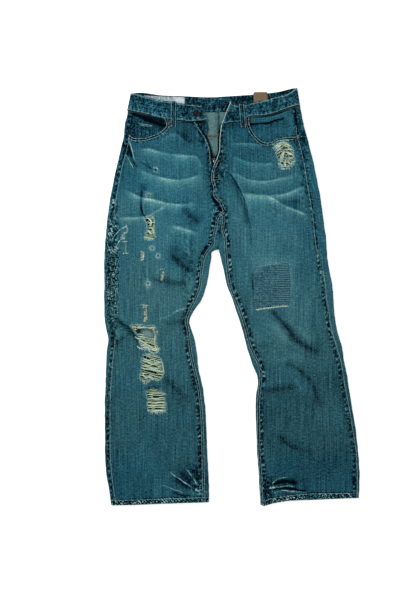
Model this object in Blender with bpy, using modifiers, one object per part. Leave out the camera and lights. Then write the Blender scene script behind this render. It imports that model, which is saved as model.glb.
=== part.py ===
"""Ripped five-pocket jeans, laid flat and face up, with the fly half open.

Metres, +Z up. The origin is the bottom centre of the bounding box. The waist points
to +Y, the front of the garment to +Z, and the wearer's right leg lies on -X.
Tables are in millimetres; place() and height arguments are turned to metres once, by MM.
"""
import math
from collections import namedtuple

import bmesh
import bpy
from mathutils import Vector

MM = 0.001

# Driving dimensions, in millimetres.
CLOTH = 1.6              # wall of a denim panel
BAND_WALL = 2.4          # waistband, folded double
THIN = 1.0               # pocket bag, zip tape, labels
SEAM = 0.3               # gap between pieces that are sewn together
EDGE_HEIGHT = 7.0        # outside height of a leg at its folded edges
BAND_HEIGHT = 7.4        # the same at the waistband
EDGE_ROUND = 3.5         # how far a folded edge rounds in plan
HIP_LIFT = 1.5           # the back pockets and loops lie under the hips
LIFT_START, LIFT_END = 100.0, 165.0
LOOP_WALL = 1.2
LOOP_WIDTH = 14.0
BUTTON_RADIUS = 8.5
BUTTON_WALL = 2.6
RIVET_RADIUS = 4.5
RIVET_WALL = 1.1
PULL_LENGTH = 14.0
PULL_WIDTH = 4.4

HIP_TOP = HIP_LIFT + EDGE_HEIGHT       # outer face of a front panel at the hips
BAND_TOP = HIP_LIFT + BAND_HEIGHT      # outer face of the waistband in front
ABOVE_BACK = HIP_LIFT + CLOTH + 1.0    # what lies on the back panels inside
UNDER_FRONT = HIP_TOP - CLOTH - SEAM   # upper face of what lies under a front panel

# A leg's outline and seams by height: folded outer edge, outseam and inseam as they lie
# on top, folded inner edge. Above the crotch there is no inner edge.
Station = namedtuple("Station", "y outer outseam inseam inner")
RIGHT_LEG = [
    Station(472.0, -262.0, -250.0, None, None),
    Station(462.5, -261.0, -252.0, None, None),
    Station(427.5, -268.5, -257.0, None, None),
    Station(407.5, -270.0, -258.5, None, None),
    Station(372.5, -277.5, -265.0, None, None),
    Station(327.5, -288.0, -277.0, None, None),
    Station(282.5, -298.0, -286.0, None, None),
    Station(237.5, -306.0, -294.0, None, None),
    Station(192.5, -312.5, -299.0, None, None),
    Station(147.5, -316.5, -302.5, None, None),
    Station(102.5, -319.5, -305.0, -71.5, -51.5),
    Station(57.5, -320.0, -305.0, -80.0, -58.0),
    Station(27.5, -319.5, -304.0, -83.0, -64.0),
    Station(-2.5, -320.0, -304.0, -94.0, -74.0),
    Station(-17.5, -320.0, -304.0, -102.0, -82.5),
    Station(-32.5, -319.5, -303.0, -109.0, -93.5),
    Station(-47.5, -319.0, -302.5, -115.0, -102.5),
    Station(-62.5, -317.5, -301.0, -117.5, -106.5),
    Station(-77.5, -315.0, -299.0, -114.5, -102.5),
    Station(-107.5, -309.5, -296.0, -110.5, -93.0),
    Station(-137.5, -313.5, -299.0, -106.5, -88.0),
    Station(-182.5, -315.5, -303.0, -97.0, -83.0),
    Station(-227.5, -317.0, -306.0, -87.0, -72.5),
    Station(-272.5, -318.5, -308.0, -81.0, -67.0),
    Station(-332.5, -318.0, -308.0, -77.5, -63.5),
    Station(-392.5, -318.0, -307.5, -76.0, -61.5),
    Station(-437.5, -315.0, -304.5, -75.5, -59.0),
    Station(-482.5, -307.5, -299.0, -74.0, -57.0),
    Station(-515.0, -302.5, -294.0, -73.5, -57.5),
]
LEFT_LEG = [
    Station(482.0, 170.0, 152.0, None, None),
    Station(462.5, 172.5, 156.5, None, None),
    Station(427.5, 180.0, 161.5, None, None),
    Station(407.5, 186.0, 165.0, None, None),
    Station(372.5, 195.0, 174.0, None, None),
    Station(327.5, 206.0, 184.0, None, None),
    Station(282.5, 215.0, 191.0, None, None),
    Station(237.5, 223.0, 199.0, None, None),
    Station(192.5, 229.0, 206.0, None, None),
    Station(152.5, 235.0, 209.5, None, None),
    Station(117.5, 237.5, 214.5, None, None),
    Station(102.5, 238.5, 217.0, -11.0, -29.5),
    Station(72.5, 242.5, 221.0, -8.0, -22.5),
    Station(27.5, 251.5, 228.5, -0.5, -12.0),
    Station(-2.5, 253.5, 231.5, 10.5, 0.0),
    Station(-32.5, 256.0, 236.5, 23.0, 10.0),
    Station(-62.5, 259.5, 241.0, 33.0, 20.0),
    Station(-92.5, 265.5, 246.5, 41.5, 29.0),
    Station(-122.5, 275.0, 255.5, 49.0, 36.0),
    Station(-167.5, 282.0, 268.5, 69.5, 50.5),
    Station(-200.0, 289.0, 274.0, 76.0, 63.5),
    Station(-212.5, 290.5, 275.5, 75.0, 65.0),
    Station(-242.5, 295.0, 281.0, 71.5, 60.5),
    Station(-272.5, 300.0, 287.0, 70.0, 59.0),
    Station(-332.5, 310.0, 297.0, 70.0, 61.0),
    Station(-392.5, 316.5, 306.0, 71.5, 63.0),
    Station(-437.5, 319.5, 308.0, 75.0, 66.5),
    Station(-482.5, 319.0, 308.0, 77.0, 69.0),
    Station(-515.0, 318.0, 307.5, 78.5, 71.0),
]

# The hem's lower edge, as (x, y) along each leg.
RIGHT_HEM = [(-303.0, -521.0), (-250.0, -520.0), (-57.0, -513.0)]
LEFT_HEM = [(70.0, -519.0), (80.0, -522.5), (102.0, -516.0), (142.0, -509.5), (318.0, -502.5)]

# Rows across a front panel above the leg, from the outseam to the fly, rise and inseam.
FrontRow = namedtuple("FrontRow", "out_y in_x in_y")
RIGHT_FRONT = [
    FrontRow(462.5, -91.0, 437.0),
    FrontRow(445.0, -83.5, 425.0),
    FrontRow(427.5, -75.5, 412.5),
    FrontRow(407.5, -65.5, 399.0),
    FrontRow(390.0, -59.0, 383.0),
    FrontRow(372.5, -54.5, 367.5),
    FrontRow(350.0, -50.5, 346.0),
    FrontRow(327.5, -47.5, 335.0),
    FrontRow(305.0, -51.5, 312.5),
    FrontRow(282.5, -52.5, 292.5),
    FrontRow(265.0, -46.6, 272.0),
    FrontRow(250.0, -46.0, 251.0),
    FrontRow(237.5, -31.5, 234.5),
    FrontRow(214.0, -23.0, 215.0),
    FrontRow(192.5, -39.0, 200.0),
    FrontRow(178.0, -42.0, 180.0),
    FrontRow(164.0, -48.5, 152.5),
    FrontRow(147.5, -50.5, 132.5),
    FrontRow(125.0, -62.5, 118.5),
]
LEFT_FRONT = [
    FrontRow(476.0, -26.5, 430.0),
    FrontRow(452.0, -27.3, 416.0),
    FrontRow(427.5, -28.5, 399.0),
    FrontRow(407.5, -29.0, 383.0),
    FrontRow(372.5, -29.5, 367.5),
    FrontRow(360.0, -36.0, 356.0),
    FrontRow(345.0, -42.5, 342.5),
    FrontRow(327.5, -47.5, 335.0),
    FrontRow(305.0, -51.5, 312.5),
    FrontRow(282.5, -52.5, 292.5),
    FrontRow(265.0, -46.6, 272.0),
    FrontRow(250.0, -46.0, 251.0),
    FrontRow(237.5, -31.5, 234.5),
    FrontRow(214.0, -23.0, 215.0),
    FrontRow(192.5, -18.0, 200.0),
    FrontRow(170.0, -19.0, 165.0),
    FrontRow(152.5, -14.5, 152.0),
    FrontRow(135.0, -13.0, 132.0),
    FrontRow(117.5, -12.0, 117.0),
]

# Rows across a back panel that end at the centre back seam, under the hips.
SeatRow = namedtuple("SeatRow", "out_y x y")
SEAT = [
    SeatRow(427.5, -32.0, 402.0),
    SeatRow(407.5, -32.0, 380.0),
    SeatRow(372.5, -32.5, 345.0),
    SeatRow(327.5, -33.0, 305.0),
    SeatRow(282.5, -33.5, 265.0),
    SeatRow(237.5, -34.0, 218.0),
    SeatRow(192.5, -34.5, 160.0),
    SeatRow(178.0, -35.0, 125.0),
]

# Rows that turn over the fold at the crotch. fold is where the row crosses the fold, turn the
# way the fold faces in degrees, drift how far the row slides along it, reach the angle where
# it ends in the fold, or None where it ends on top at (x, y).
CrotchRow = namedtuple("CrotchRow", "out_y fold_x fold_y turn drift reach x y")
RIGHT_CROTCH = [
    CrotchRow(174.0, -36.2, 117.6, -90.0, 1.2, -30.0, None, None),
    CrotchRow(170.0, -36.2, 117.6, -90.0, 2.2, 30.0, None, None),
    CrotchRow(166.0, -36.0, 117.6, -90.0, 3.0, None, -35.8, 122.0),
    CrotchRow(162.0, -37.0, 117.5, -90.0, 3.0, None, -32.4, 140.0),
    CrotchRow(157.0, -38.5, 117.3, -90.0, 2.8, None, -28.5, 175.0),
    CrotchRow(152.0, -40.5, 116.9, -90.0, 2.4, None, -23.0, 215.0),
    CrotchRow(147.5, -42.8, 116.3, -86.0, 2.0, None, -39.0, 200.0),
    CrotchRow(140.0, -45.0, 115.5, -76.0, 1.2, None, -42.0, 180.0),
    CrotchRow(132.0, -48.0, 114.0, -62.0, 0.5, None, -48.5, 152.5),
    CrotchRow(123.0, -50.5, 111.5, -42.0, 0.0, None, -50.5, 132.5),
    CrotchRow(113.0, -52.0, 107.5, -15.0, 0.0, None, -62.5, 118.5),
]
LEFT_CROTCH = [
    CrotchRow(174.0, -33.8, 117.6, -90.0, -1.2, -30.0, None, None),
    CrotchRow(170.0, -33.8, 117.6, -90.0, -2.2, 30.0, None, None),
    CrotchRow(166.0, -33.8, 117.5, -90.0, -3.0, None, -34.2, 122.0),
    CrotchRow(162.0, -33.5, 117.3, -96.0, -2.8, None, -32.4, 140.0),
    CrotchRow(157.0, -33.2, 117.0, -104.0, -2.4, None, -28.5, 175.0),
    CrotchRow(152.5, -32.9, 116.4, -112.0, -1.8, None, -23.0, 215.0),
    CrotchRow(144.0, -32.5, 115.4, -122.0, -1.2, None, -18.0, 200.0),
    CrotchRow(136.0, -32.2, 114.0, -132.0, -0.6, None, -19.0, 165.0),
    CrotchRow(127.0, -31.5, 111.5, -145.0, 0.0, None, -14.5, 152.0),
    CrotchRow(117.5, -30.6, 108.0, -157.0, 0.0, None, -13.0, 132.0),
    CrotchRow(110.0, -30.0, 105.0, -168.0, 0.0, None, -12.0, 117.0),
]

# The largest folds that stand up from the fronts: a ridge from one end to the other.
Fold = namedtuple("Fold", "x0 y0 x1 y1 half_width rise")
FOLDS = [
    Fold(110.0, -49.0, 138.0, -82.0, 16.0, 4.5),
    Fold(138.0, -82.0, 218.0, -138.0, 18.0, 5.0),
    Fold(104.0, -162.0, 165.0, -176.0, 15.0, 3.5),
    Fold(165.0, -176.0, 208.0, -232.0, 16.0, 4.0),
    Fold(84.0, -232.0, 168.0, -221.0, 14.0, 3.0),
    Fold(118.0, -341.0, 142.0, -370.0, 14.0, 3.5),
    Fold(142.0, -370.0, 182.0, -386.0, 15.0, 3.5),
    Fold(2.0, 290.0, 38.0, 195.0, 15.0, 3.5),
    Fold(38.0, 195.0, 50.0, 150.0, 15.0, 3.0),
    Fold(-288.0, -60.0, -238.0, -112.0, 15.0, 4.5),
    Fold(-172.0, -210.0, -122.0, -262.0, 17.0, 4.0),
    Fold(-148.0, 94.0, -96.0, 69.0, 15.0, 3.0),
    Fold(-114.0, 220.0, -82.0, 189.0, 15.0, 3.0),
    Fold(-259.0, 376.0, -240.0, 328.0, 12.0, 3.5),
    Fold(-142.0, -446.0, -88.0, -484.0, 12.0, 4.0),
    Fold(100.0, -482.0, 168.0, -481.0, 13.0, 4.0),
    Fold(98.0, -466.0, 144.0, -448.0, 11.0, 3.0),
]

# The waistband as one strip: its upper and lower edge, first on the right front half from its
# end to the side, then across the back, then on the left front half from the side to its end.
Band = namedtuple("Band", "top_x top_y low_x low_y")
BAND_RIGHT = [
    Band(-76.5, 479.0, -61.0, 442.0),
    Band(-102.0, 481.0, -100.0, 438.0),
    Band(-130.0, 484.5, -130.0, 440.5),
    Band(-172.5, 491.0, -177.5, 446.5),
    Band(-207.5, 498.5, -220.0, 457.5),
    Band(-236.0, 507.0, -248.5, 463.5),
]
BAND_BACK = [
    Band(-245.0, 510.0, -254.0, 466.0),
    Band(-172.5, 504.5, -175.0, 463.0),
    Band(-117.5, 502.5, -118.0, 462.5),
    Band(-58.5, 500.0, -58.0, 462.5),
    Band(0.0, 503.0, 0.0, 464.0),
    Band(52.5, 506.5, 53.0, 466.0),
    Band(119.0, 514.0, 121.0, 472.0),
    Band(158.0, 522.5, 164.0, 478.0),
]
BAND_LEFT = [
    Band(157.0, 519.5, 163.0, 477.5),
    Band(135.0, 506.0, 132.0, 468.5),
    Band(107.5, 500.0, 104.5, 458.5),
    Band(90.0, 493.5, 76.5, 453.0),
    Band(54.5, 486.5, 44.0, 450.5),
    Band(27.5, 480.0, 20.0, 437.5),
    Band(2.0, 482.0, -5.0, 435.5),
    Band(-3.5, 490.5, -26.5, 430.5),
]
BAND_RIGHT_SIDE = Band(-253.5, 509.0, -262.5, 466.0)
BAND_LEFT_SIDE = Band(163.5, 522.5, 170.5, 478.5)

# Outlines in plan.
RIGHT_MOUTH = [(-300.0, 500.0), (-300.0, 412.0), (-261.0, 407.5), (-246.5, 399.0), (-220.0, 398.5),
               (-200.5, 404.0), (-184.0, 410.5), (-172.0, 419.0), (-165.0, 428.5), (-167.0, 438.0),
               (-175.0, 452.0), (-175.0, 500.0)]
LEFT_MOUTH = [(200.0, 520.0), (200.0, 404.0), (164.0, 402.0), (130.0, 399.5), (111.0, 396.0),
              (96.5, 388.0), (79.0, 388.0), (63.5, 399.5), (52.5, 413.0), (45.5, 428.5),
              (44.0, 460.0), (44.0, 520.0)]
POCKET_HEM = 14.0
RIGHT_FACING = [(-249.0, 462.0), (-214.0, 454.0), (-172.0, 444.0), (-150.0, 440.5), (-152.0, 410.0),
                (-190.0, 385.0), (-225.0, 378.0), (-253.5, 383.0), (-254.0, 430.0)]
LEFT_FACING = [(153.0, 472.0), (128.0, 465.0), (104.0, 457.0), (76.0, 451.0), (36.0, 446.0),
               (38.0, 410.0), (60.0, 380.0), (90.0, 368.0), (130.0, 376.0), (159.0, 385.0),
               (158.0, 430.0)]
COIN_POCKET = [(-231.0, 434.5), (-200.5, 430.0), (-199.0, 392.0), (-232.0, 392.0)]
POCKET_BAG = [(163.0, 396.0), (130.0, 394.0), (111.0, 391.0), (97.0, 383.0), (79.0, 383.0),
              (60.0, 394.0), (42.0, 420.0), (34.0, 390.0), (36.0, 330.0), (52.0, 296.0),
              (90.0, 284.0), (140.0, 290.0), (168.0, 312.0), (171.0, 360.0)]
RIGHT_BACK_POCKET = [(-237.0, 372.0), (-92.0, 360.0), (-90.0, 240.0), (-160.0, 214.0),
                     (-232.0, 246.0)]
LEFT_BACK_POCKET = [(26.0, 360.0), (150.0, 374.0), (158.0, 248.0), (94.0, 214.0), (24.0, 240.0)]
FLY_SHIELD = [(-106.0, 438.0), (-62.0, 440.0), (-58.5, 422.0), (-63.0, 401.0), (-66.0, 380.0),
              (-64.0, 352.0), (-90.0, 352.0), (-104.0, 390.0)]
LEATHER_PATCH = [(53.5, 512.5), (88.5, 513.0), (90.5, 480.0), (55.0, 477.0)]
WOVEN_LABEL = [(-222.0, 504.0), (-118.0, 500.5), (-118.0, 474.0), (-222.0, 478.0)]

# Rips cut right through the fronts.
RIGHT_RIPS = [
    [(-258.0, -70.0), (-188.0, -76.0), (-186.0, -112.0), (-197.0, -136.0), (-208.0, -124.0),
     (-232.0, -120.0), (-240.0, -98.0)],
    [(-219.0, -151.0), (-204.0, -147.0), (-179.0, -151.0), (-176.0, -180.0), (-172.0, -202.0),
     (-202.0, -199.0), (-222.0, -205.0), (-220.0, -178.0)],
    [(-212.0, -238.0), (-196.0, -231.0), (-172.0, -233.0), (-165.0, -255.0), (-165.0, -284.0),
     (-192.0, -282.0), (-207.0, -284.0)],
    [(-219.0, 196.0), (-201.0, 199.0), (-193.0, 188.0), (-193.0, 146.0), (-213.0, 144.0),
     (-209.0, 182.0)],
]
LEFT_RIPS = [
    [(101.0, 379.0), (117.0, 383.0), (146.0, 379.0), (156.0, 366.0), (160.0, 342.0),
     (146.0, 331.0), (132.0, 324.0), (116.0, 333.0), (108.0, 355.0)],
]

# Loops by name: centre line at the top and bottom ends, and which face carries them.
Loop = namedtuple("Loop", "name top_x top_y low_x low_y outside")
LOOPS = [
    Loop("belt_loop_1", -146.5, 489.0, -146.5, 426.0, True),
    Loop("belt_loop_2", 23.5, 482.0, 28.5, 423.5, True),
    Loop("belt_loop_3", 122.0, 511.0, 124.0, 449.0, False),
    Loop("belt_loop_4", -32.0, 500.0, -32.0, 439.0, False),
    Loop("belt_loop_5", -178.0, 503.0, -179.0, 441.0, False),
]
RIVETS = [("rivet_1", -159.5, 437.0), ("rivet_2", -254.0, 403.0), ("rivet_3", 42.5, 438.0),
          ("rivet_4", 162.0, 395.0)]
BUTTON_AT = (-89.0, 459.0)
SLIDER_AT = (-45.6, 341.0)
SLIDER_LENGTH = 11.0
KNEE_PATCH = [(50.0, 66.0), (140.0, 83.0), (141.0, -24.0), (56.0, -29.0)]

DENIM = (0.035, 0.105, 0.150, 1.0)
DENIM_BACK = (0.20, 0.27, 0.28, 1.0)
LINING = (0.48, 0.47, 0.36, 1.0)
TAPE = (0.012, 0.020, 0.035, 1.0)
BRASS = (0.30, 0.20, 0.10, 1.0)
COPPER = (0.35, 0.14, 0.07, 1.0)
LEATHER = (0.28, 0.14, 0.07, 1.0)
LABEL = (0.66, 0.68, 0.66, 1.0)
DARN = (0.060, 0.110, 0.200, 1.0)


# ---------------------------------------------------------------- small tools

def clear_scene():
    for obj in list(bpy.data.objects):
        bpy.data.objects.remove(obj, do_unlink=True)


def collection(name):
    made = bpy.data.collections.new(name)
    bpy.context.scene.collection.children.link(made)
    return made


def material(name, colour, roughness, metallic):
    made = bpy.data.materials.new(name)
    made.use_nodes = True
    shader = made.node_tree.nodes["Principled BSDF"]
    shader.inputs["Base Color"].default_value = colour
    shader.inputs["Roughness"].default_value = roughness
    shader.inputs["Metallic"].default_value = metallic
    return made


def add_object(name, mesh, where, colour=None, roughness=0.9, metallic=0.0):
    obj = bpy.data.objects.new(name, mesh)
    where.objects.link(obj)
    if colour:
        mesh.materials.append(material(name + "_finish", colour, roughness, metallic))
    return obj


def bent_grid(name, place, across, along, wall, colour, where, roughness=0.9):
    """An open grid laid by place(column, row), with its wall added on the inner side."""
    bm = bmesh.new()
    bmesh.ops.create_grid(bm, x_segments=across, y_segments=along, size=0.5)
    for vert in bm.verts:
        column = round((vert.co.x + 0.5) * across)
        row = round((0.5 - vert.co.y) * along)
        vert.co = Vector(place(column, row)) * MM
    mesh = bpy.data.meshes.new(name)
    bm.to_mesh(mesh)
    bm.free()
    obj = add_object(name, mesh, where, colour, roughness)
    solid = obj.modifiers.new("wall", "SOLIDIFY")
    solid.thickness = wall * MM
    solid.offset = -1.0
    return obj


def plate(name, outline, low, high, where, colour=None, roughness=0.9, metallic=0.0):
    """A flat piece cut to an outline, between two heights."""
    curve = bpy.data.curves.new(name + "_outline", "CURVE")
    curve.dimensions = "2D"
    curve.fill_mode = "BOTH"
    curve.extrude = (high - low) * 0.5 * MM
    spline = curve.splines.new("POLY")
    spline.points.add(len(outline) - 1)
    for point, (x, y) in zip(spline.points, outline):
        point.co = (x * MM, y * MM, 0.0, 1.0)
    spline.use_cyclic_u = True
    guide = bpy.data.objects.new(name + "_outline", curve)
    where.objects.link(guide)
    guide.location.z = (low + high) * 0.5 * MM
    bpy.context.view_layer.update()
    evaluated = guide.evaluated_get(bpy.context.evaluated_depsgraph_get())
    mesh = bpy.data.meshes.new_from_object(evaluated)
    mesh.transform(guide.matrix_world)
    bpy.data.objects.remove(guide, do_unlink=True)
    bm = bmesh.new()
    bm.from_mesh(mesh)
    bmesh.ops.remove_doubles(bm, verts=bm.verts, dist=0.01 * MM)
    bmesh.ops.recalc_face_normals(bm, faces=bm.faces)
    bm.to_mesh(mesh)
    bm.free()
    return add_object(name, mesh, where, colour, roughness, metallic)


def cut(obj, cutter, operation="DIFFERENCE"):
    cutter.hide_render = True
    cutter.display_type = "WIRE"
    boolean = obj.modifiers.new(cutter.name, "BOOLEAN")
    boolean.operation = operation
    boolean.object = cutter
    boolean.solver = "EXACT"


def lerp(a, b, t):
    return a + (b - a) * t


def between(points, x):
    """Height of a polyline of (x, y) points at x."""
    points = sorted(points)
    for (x0, y0), (x1, y1) in zip(points, points[1:]):
        if x <= x1:
            return lerp(y0, y1, (x - x0) / (x1 - x0))
    return points[-1][1]


def station_value(leg, column, y):
    """A column of a leg table at height y."""
    return between([(station.y, getattr(station, column)) for station in leg
                    if getattr(station, column) is not None], y)


def inset(points, distance):
    """A polyline moved sideways by distance, to the left of its direction, with mitres."""
    moved = []
    for i, point in enumerate(points):
        before = points[max(i - 1, 0)]
        after = points[min(i + 1, len(points) - 1)]
        sides = []
        for start, end in ((before, point), (point, after)):
            along = Vector((end[0] - start[0], end[1] - start[1]))
            if along.length > 0.0:
                along.normalize()
                sides.append(Vector((-along.y, along.x)))
        mitre = sides[0] + sides[-1]
        mitre *= 2.0 * distance / mitre.length_squared
        moved.append((point[0] + mitre.x, point[1] + mitre.y))
    return moved


# ---------------------------------------------------------------- the laid garment's heights

def lift(y):
    """Height of the underside: the legs lie on the ground, the hips on their pockets."""
    t = min(max((y - LIFT_START) / (LIFT_END - LIFT_START), 0.0), 1.0)
    return HIP_LIFT * t * t * (3.0 - 2.0 * t)


def fold_rise(x, y):
    """How far the folds lift the front of the garment at (x, y)."""
    highest = 0.0
    for fold in FOLDS:
        start = Vector((fold.x0, fold.y0))
        run = Vector((fold.x1, fold.y1)) - start
        t = (Vector((x, y)) - start).dot(run) / run.length_squared
        nearest = start + run * min(max(t, 0.0), 1.0)
        away = (Vector((x, y)) - nearest).length / fold.half_width
        if away < 1.0:
            highest = max(highest, fold.rise * math.cos(away * math.pi / 2.0) ** 2)
    return highest


def top_height(x, y):
    return lift(y) + EDGE_HEIGHT + fold_rise(x, y)


# ---------------------------------------------------------------- rows shared by the panels

def leg_rows(leg):
    """Stations from the crotch to the hem, with one more row in each long stretch."""
    low = [station for station in leg if station.inner is not None]
    rows = [low[0]]
    for upper, lower in zip(low, low[1:]):
        if upper.y - lower.y > 40.0:
            rows.append(Station(*[lerp(a, b, 0.5) for a, b in zip(upper, lower)]))
        rows.append(lower)
    return rows


def hem_point(x, y, leg, hem):
    """The last station's points slide down onto the hem's lower edge."""
    if y == leg[-1].y:
        return (x, between(hem, x))
    return (x, y)


def front_edges(leg, hips, hem):
    """Outer and inner edge of a front panel, row by row from the waist to the hem."""
    outs = [(station_value(leg, "outseam", row.out_y), row.out_y) for row in hips]
    ins = [(row.in_x, row.in_y) for row in hips]
    for row in leg_rows(leg):
        outs.append(hem_point(row.outseam, row.y, leg, hem))
        ins.append(hem_point(row.inseam, row.y, leg, hem))
    return outs, ins


FRONT_COLUMNS = 8


def make_front(name, leg, hips, hem, side, waist, rips, mouth, parts, cutters):
    """A front panel: side is -1 for the wearer's right, +1 for the left."""
    outs, ins = front_edges(leg, hips, hem)
    outs = inset(outs, -side * SEAM)
    ins = inset(ins, side * SEAM)
    if side > 0:
        edges = list(zip(ins, outs))
    else:
        edges = list(zip(outs, ins))

    def place(column, row):
        start, end = edges[row]
        t = column / FRONT_COLUMNS
        x = lerp(start[0], end[0], t)
        y = lerp(start[1], end[1], t)
        if row == 0:
            y = between(waist, x) - 4.0 * SEAM
        if row == len(edges) - 1:
            y = between(hem, x)
        return (x, y, top_height(x, y))

    panel = bent_grid(name, place, FRONT_COLUMNS, len(edges) - 1, CLOTH, DENIM, parts)
    for number, outline in enumerate(rips + [mouth]):
        cut(panel, plate(f"{name}_cut_{number}", outline, -5.0, 40.0, cutters))
    return panel


# ---------------------------------------------------------------- back panels and yokes

FOLD_STEPS = 3           # facets round a folded edge
GROUND_STEPS = 3         # facets across the ground between two folded edges


def outer_turn(edge_x, y, seam_x, seam_y, side, height):
    """From the outseam on top, round the folded outer edge, to the ground."""
    points = [(seam_x, seam_y, top_height(seam_x, seam_y))]
    for step in range(FOLD_STEPS + 1):
        angle = math.radians(lerp(90.0, -90.0, step / FOLD_STEPS))
        x = edge_x - side * EDGE_ROUND * (1.0 - math.cos(angle))
        points.append((x, y, lift(y) + height * 0.5 * (1.0 + math.sin(angle))))
    return points


def inner_turn(row, end):
    """From the ground round the fold that a crotch or leg row crosses, to its end."""
    facing = math.radians(row.turn)
    out = Vector((math.cos(facing), math.sin(facing)))
    along = Vector((-out.y, out.x))
    last = 90.0 if row.reach is None else row.reach
    count = FOLD_STEPS if row.reach is None else FOLD_STEPS + 1
    points = []
    for step in range(count + 1):
        t = step / count
        angle = math.radians(lerp(-90.0, last, t))
        slide = -row.drift * (1.0 - t)
        spot = Vector((row.fold_x, row.fold_y)) + along * slide
        spot -= out * EDGE_ROUND * (1.0 - math.cos(angle))
        points.append((spot.x, spot.y, lift(row.fold_y) + EDGE_HEIGHT * 0.5 * (1.0 + math.sin(angle))))
    if row.reach is None:
        points.append((end[0], end[1], top_height(*end)))
    return points


def across_ground(start, end, steps):
    """Points on the ground between two ends, without the ends."""
    points = []
    for step in range(1, steps):
        x = lerp(start[0], end[0], step / steps)
        y = lerp(start[1], end[1], step / steps)
        points.append((x, y, lift(y)))
    return points


def seat_row(outer, end):
    """A row that stays on the ground up to the centre back seam."""
    turn_count = FOLD_STEPS + 2
    first = (lerp(outer[-1][0], end[0], 0.95), lerp(outer[-1][1], end[1], 0.95))
    row = outer + across_ground(outer[-1], first, GROUND_STEPS)
    for step in range(turn_count):
        t = step / (turn_count - 1)
        x = lerp(first[0], end[0], t)
        y = lerp(first[1], end[1], t)
        row.append((x, y, lift(y)))
    return row


def make_back(name, leg, crotch, hem, side, parts):
    """A back panel: out to the outseam and in to the centre back seam and the inseam."""
    seat_ends = inset([(row.x, row.y) for row in SEAT], side * SEAM * 0.5)
    turned = [row for row in crotch if row.reach is None]
    legs = leg_rows(leg)
    top_ends = [(row.x, row.y) for row in turned]
    top_ends += [hem_point(row.inseam, row.y, leg, hem) for row in legs]
    top_ends = inset(top_ends, -side * SEAM * 1.5)
    heights = [row.out_y for row in SEAT] + [row.out_y for row in crotch] + [row.y for row in legs]
    seams = [hem_point(station_value(leg, "outseam", y), y, leg, hem) for y in heights]
    seams = inset(seams, side * SEAM * 0.5)
    rows = []
    for index, y in enumerate(heights):
        edge = hem_point(station_value(leg, "outer", y), y, leg, hem)
        outer = outer_turn(edge[0], edge[1], *seams[index], side, EDGE_HEIGHT)
        if index == 0:
            outer = [(x, y - SEAM, z) for x, y, z in outer]
        if index < len(SEAT):
            end = seat_ends[index]
            if index == 0:
                end = (end[0], end[1] - SEAM)
            rows.append(seat_row(outer, end))
            continue
        if index < len(SEAT) + len(crotch):
            row = crotch[index - len(SEAT)]
            row = row._replace(fold_x=row.fold_x + side * SEAM * 0.5)
            end = top_ends[turned.index(crotch[index - len(SEAT)])] if row.reach is None else None
        else:
            place = index - len(SEAT) - len(crotch)
            station = legs[place]
            spot = hem_point(station.inner, station.y, leg, hem)
            facing = 0.0 if side < 0 else -180.0
            row = CrotchRow(station.y, *spot, facing, 0.0, None, None, None)
            end = top_ends[len(turned) + place]
        inner = inner_turn(row, end)
        rows.append(outer + across_ground(outer[-1], inner[0], GROUND_STEPS) + inner)

    def place(column, row):
        # On the left the row runs from +X to -X, so it is read backwards to face out.
        return rows[row][-1 - column] if side < 0 else rows[row][column]

    return bent_grid(name, place, len(rows[0]) - 1, len(rows) - 1, CLOTH, DENIM, parts)


YokeRow = namedtuple("YokeRow", "out_y centre_y")
YOKE = [YokeRow(461.0, 461.5), YokeRow(445.0, 431.0), YokeRow(428.0, 402.6)]
YOKE_LEFT_TOP = YokeRow(472.0, 463.0)


def make_yoke(name, leg, side, parts):
    rows = []
    table = YOKE if side < 0 else [YOKE_LEFT_TOP] + YOKE[1:]
    for number, row in enumerate(table):
        seam_x = station_value(leg, "outseam", row.out_y) + side * SEAM * 0.5
        edge = station_value(leg, "outer", row.out_y)
        outer = outer_turn(edge, row.out_y, seam_x, row.out_y, side, EDGE_HEIGHT)
        centre = (-32.0 + side * SEAM * 0.5, row.centre_y)
        line = seat_row(outer, centre)
        if number == 0:
            low_edge = [(band.low_x, band.low_y) for band in BAND_BACK]
            line = line[:5] + [(x, between(low_edge, x) - 2.0 * SEAM, z) for x, y, z in line[5:]]
        rows.append(line)

    def place(column, row):
        return rows[row][-1 - column] if side < 0 else rows[row][column]

    return bent_grid(name, place, len(rows[0]) - 1, len(rows) - 1, CLOTH, DENIM, parts)


# ---------------------------------------------------------------- waistband

BAND_ACROSS = 2


def make_waistband(parts):
    """One strip: right front half, side fold, back, side fold, left front half."""
    stations = [(band, BAND_TOP, 0.0) for band in BAND_RIGHT]

    def side_fold(band, way, first, last):
        for step in range(FOLD_STEPS + 1):
            angle = math.radians(lerp(first, last, step / FOLD_STEPS))
            inward = -way * EDGE_ROUND * (1.0 - math.cos(angle))
            stations.append((band, HIP_LIFT + BAND_HEIGHT * 0.5 * (1.0 + math.sin(angle)), inward))

    side_fold(BAND_RIGHT_SIDE, -1.0, 90.0, -90.0)
    stations.extend((band, HIP_LIFT, 0.0) for band in BAND_BACK)
    side_fold(BAND_LEFT_SIDE, 1.0, -90.0, 90.0)
    stations.extend((band, BAND_TOP, 0.0) for band in BAND_LEFT)

    def place(column, row):
        band, height, inward = stations[row]
        t = column / BAND_ACROSS
        return (lerp(band.top_x, band.low_x, t) + inward, lerp(band.top_y, band.low_y, t), height)

    return bent_grid("waistband", place, BAND_ACROSS, len(stations) - 1, BAND_WALL, DENIM, parts)


# ---------------------------------------------------------------- pieces sewn on

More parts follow.
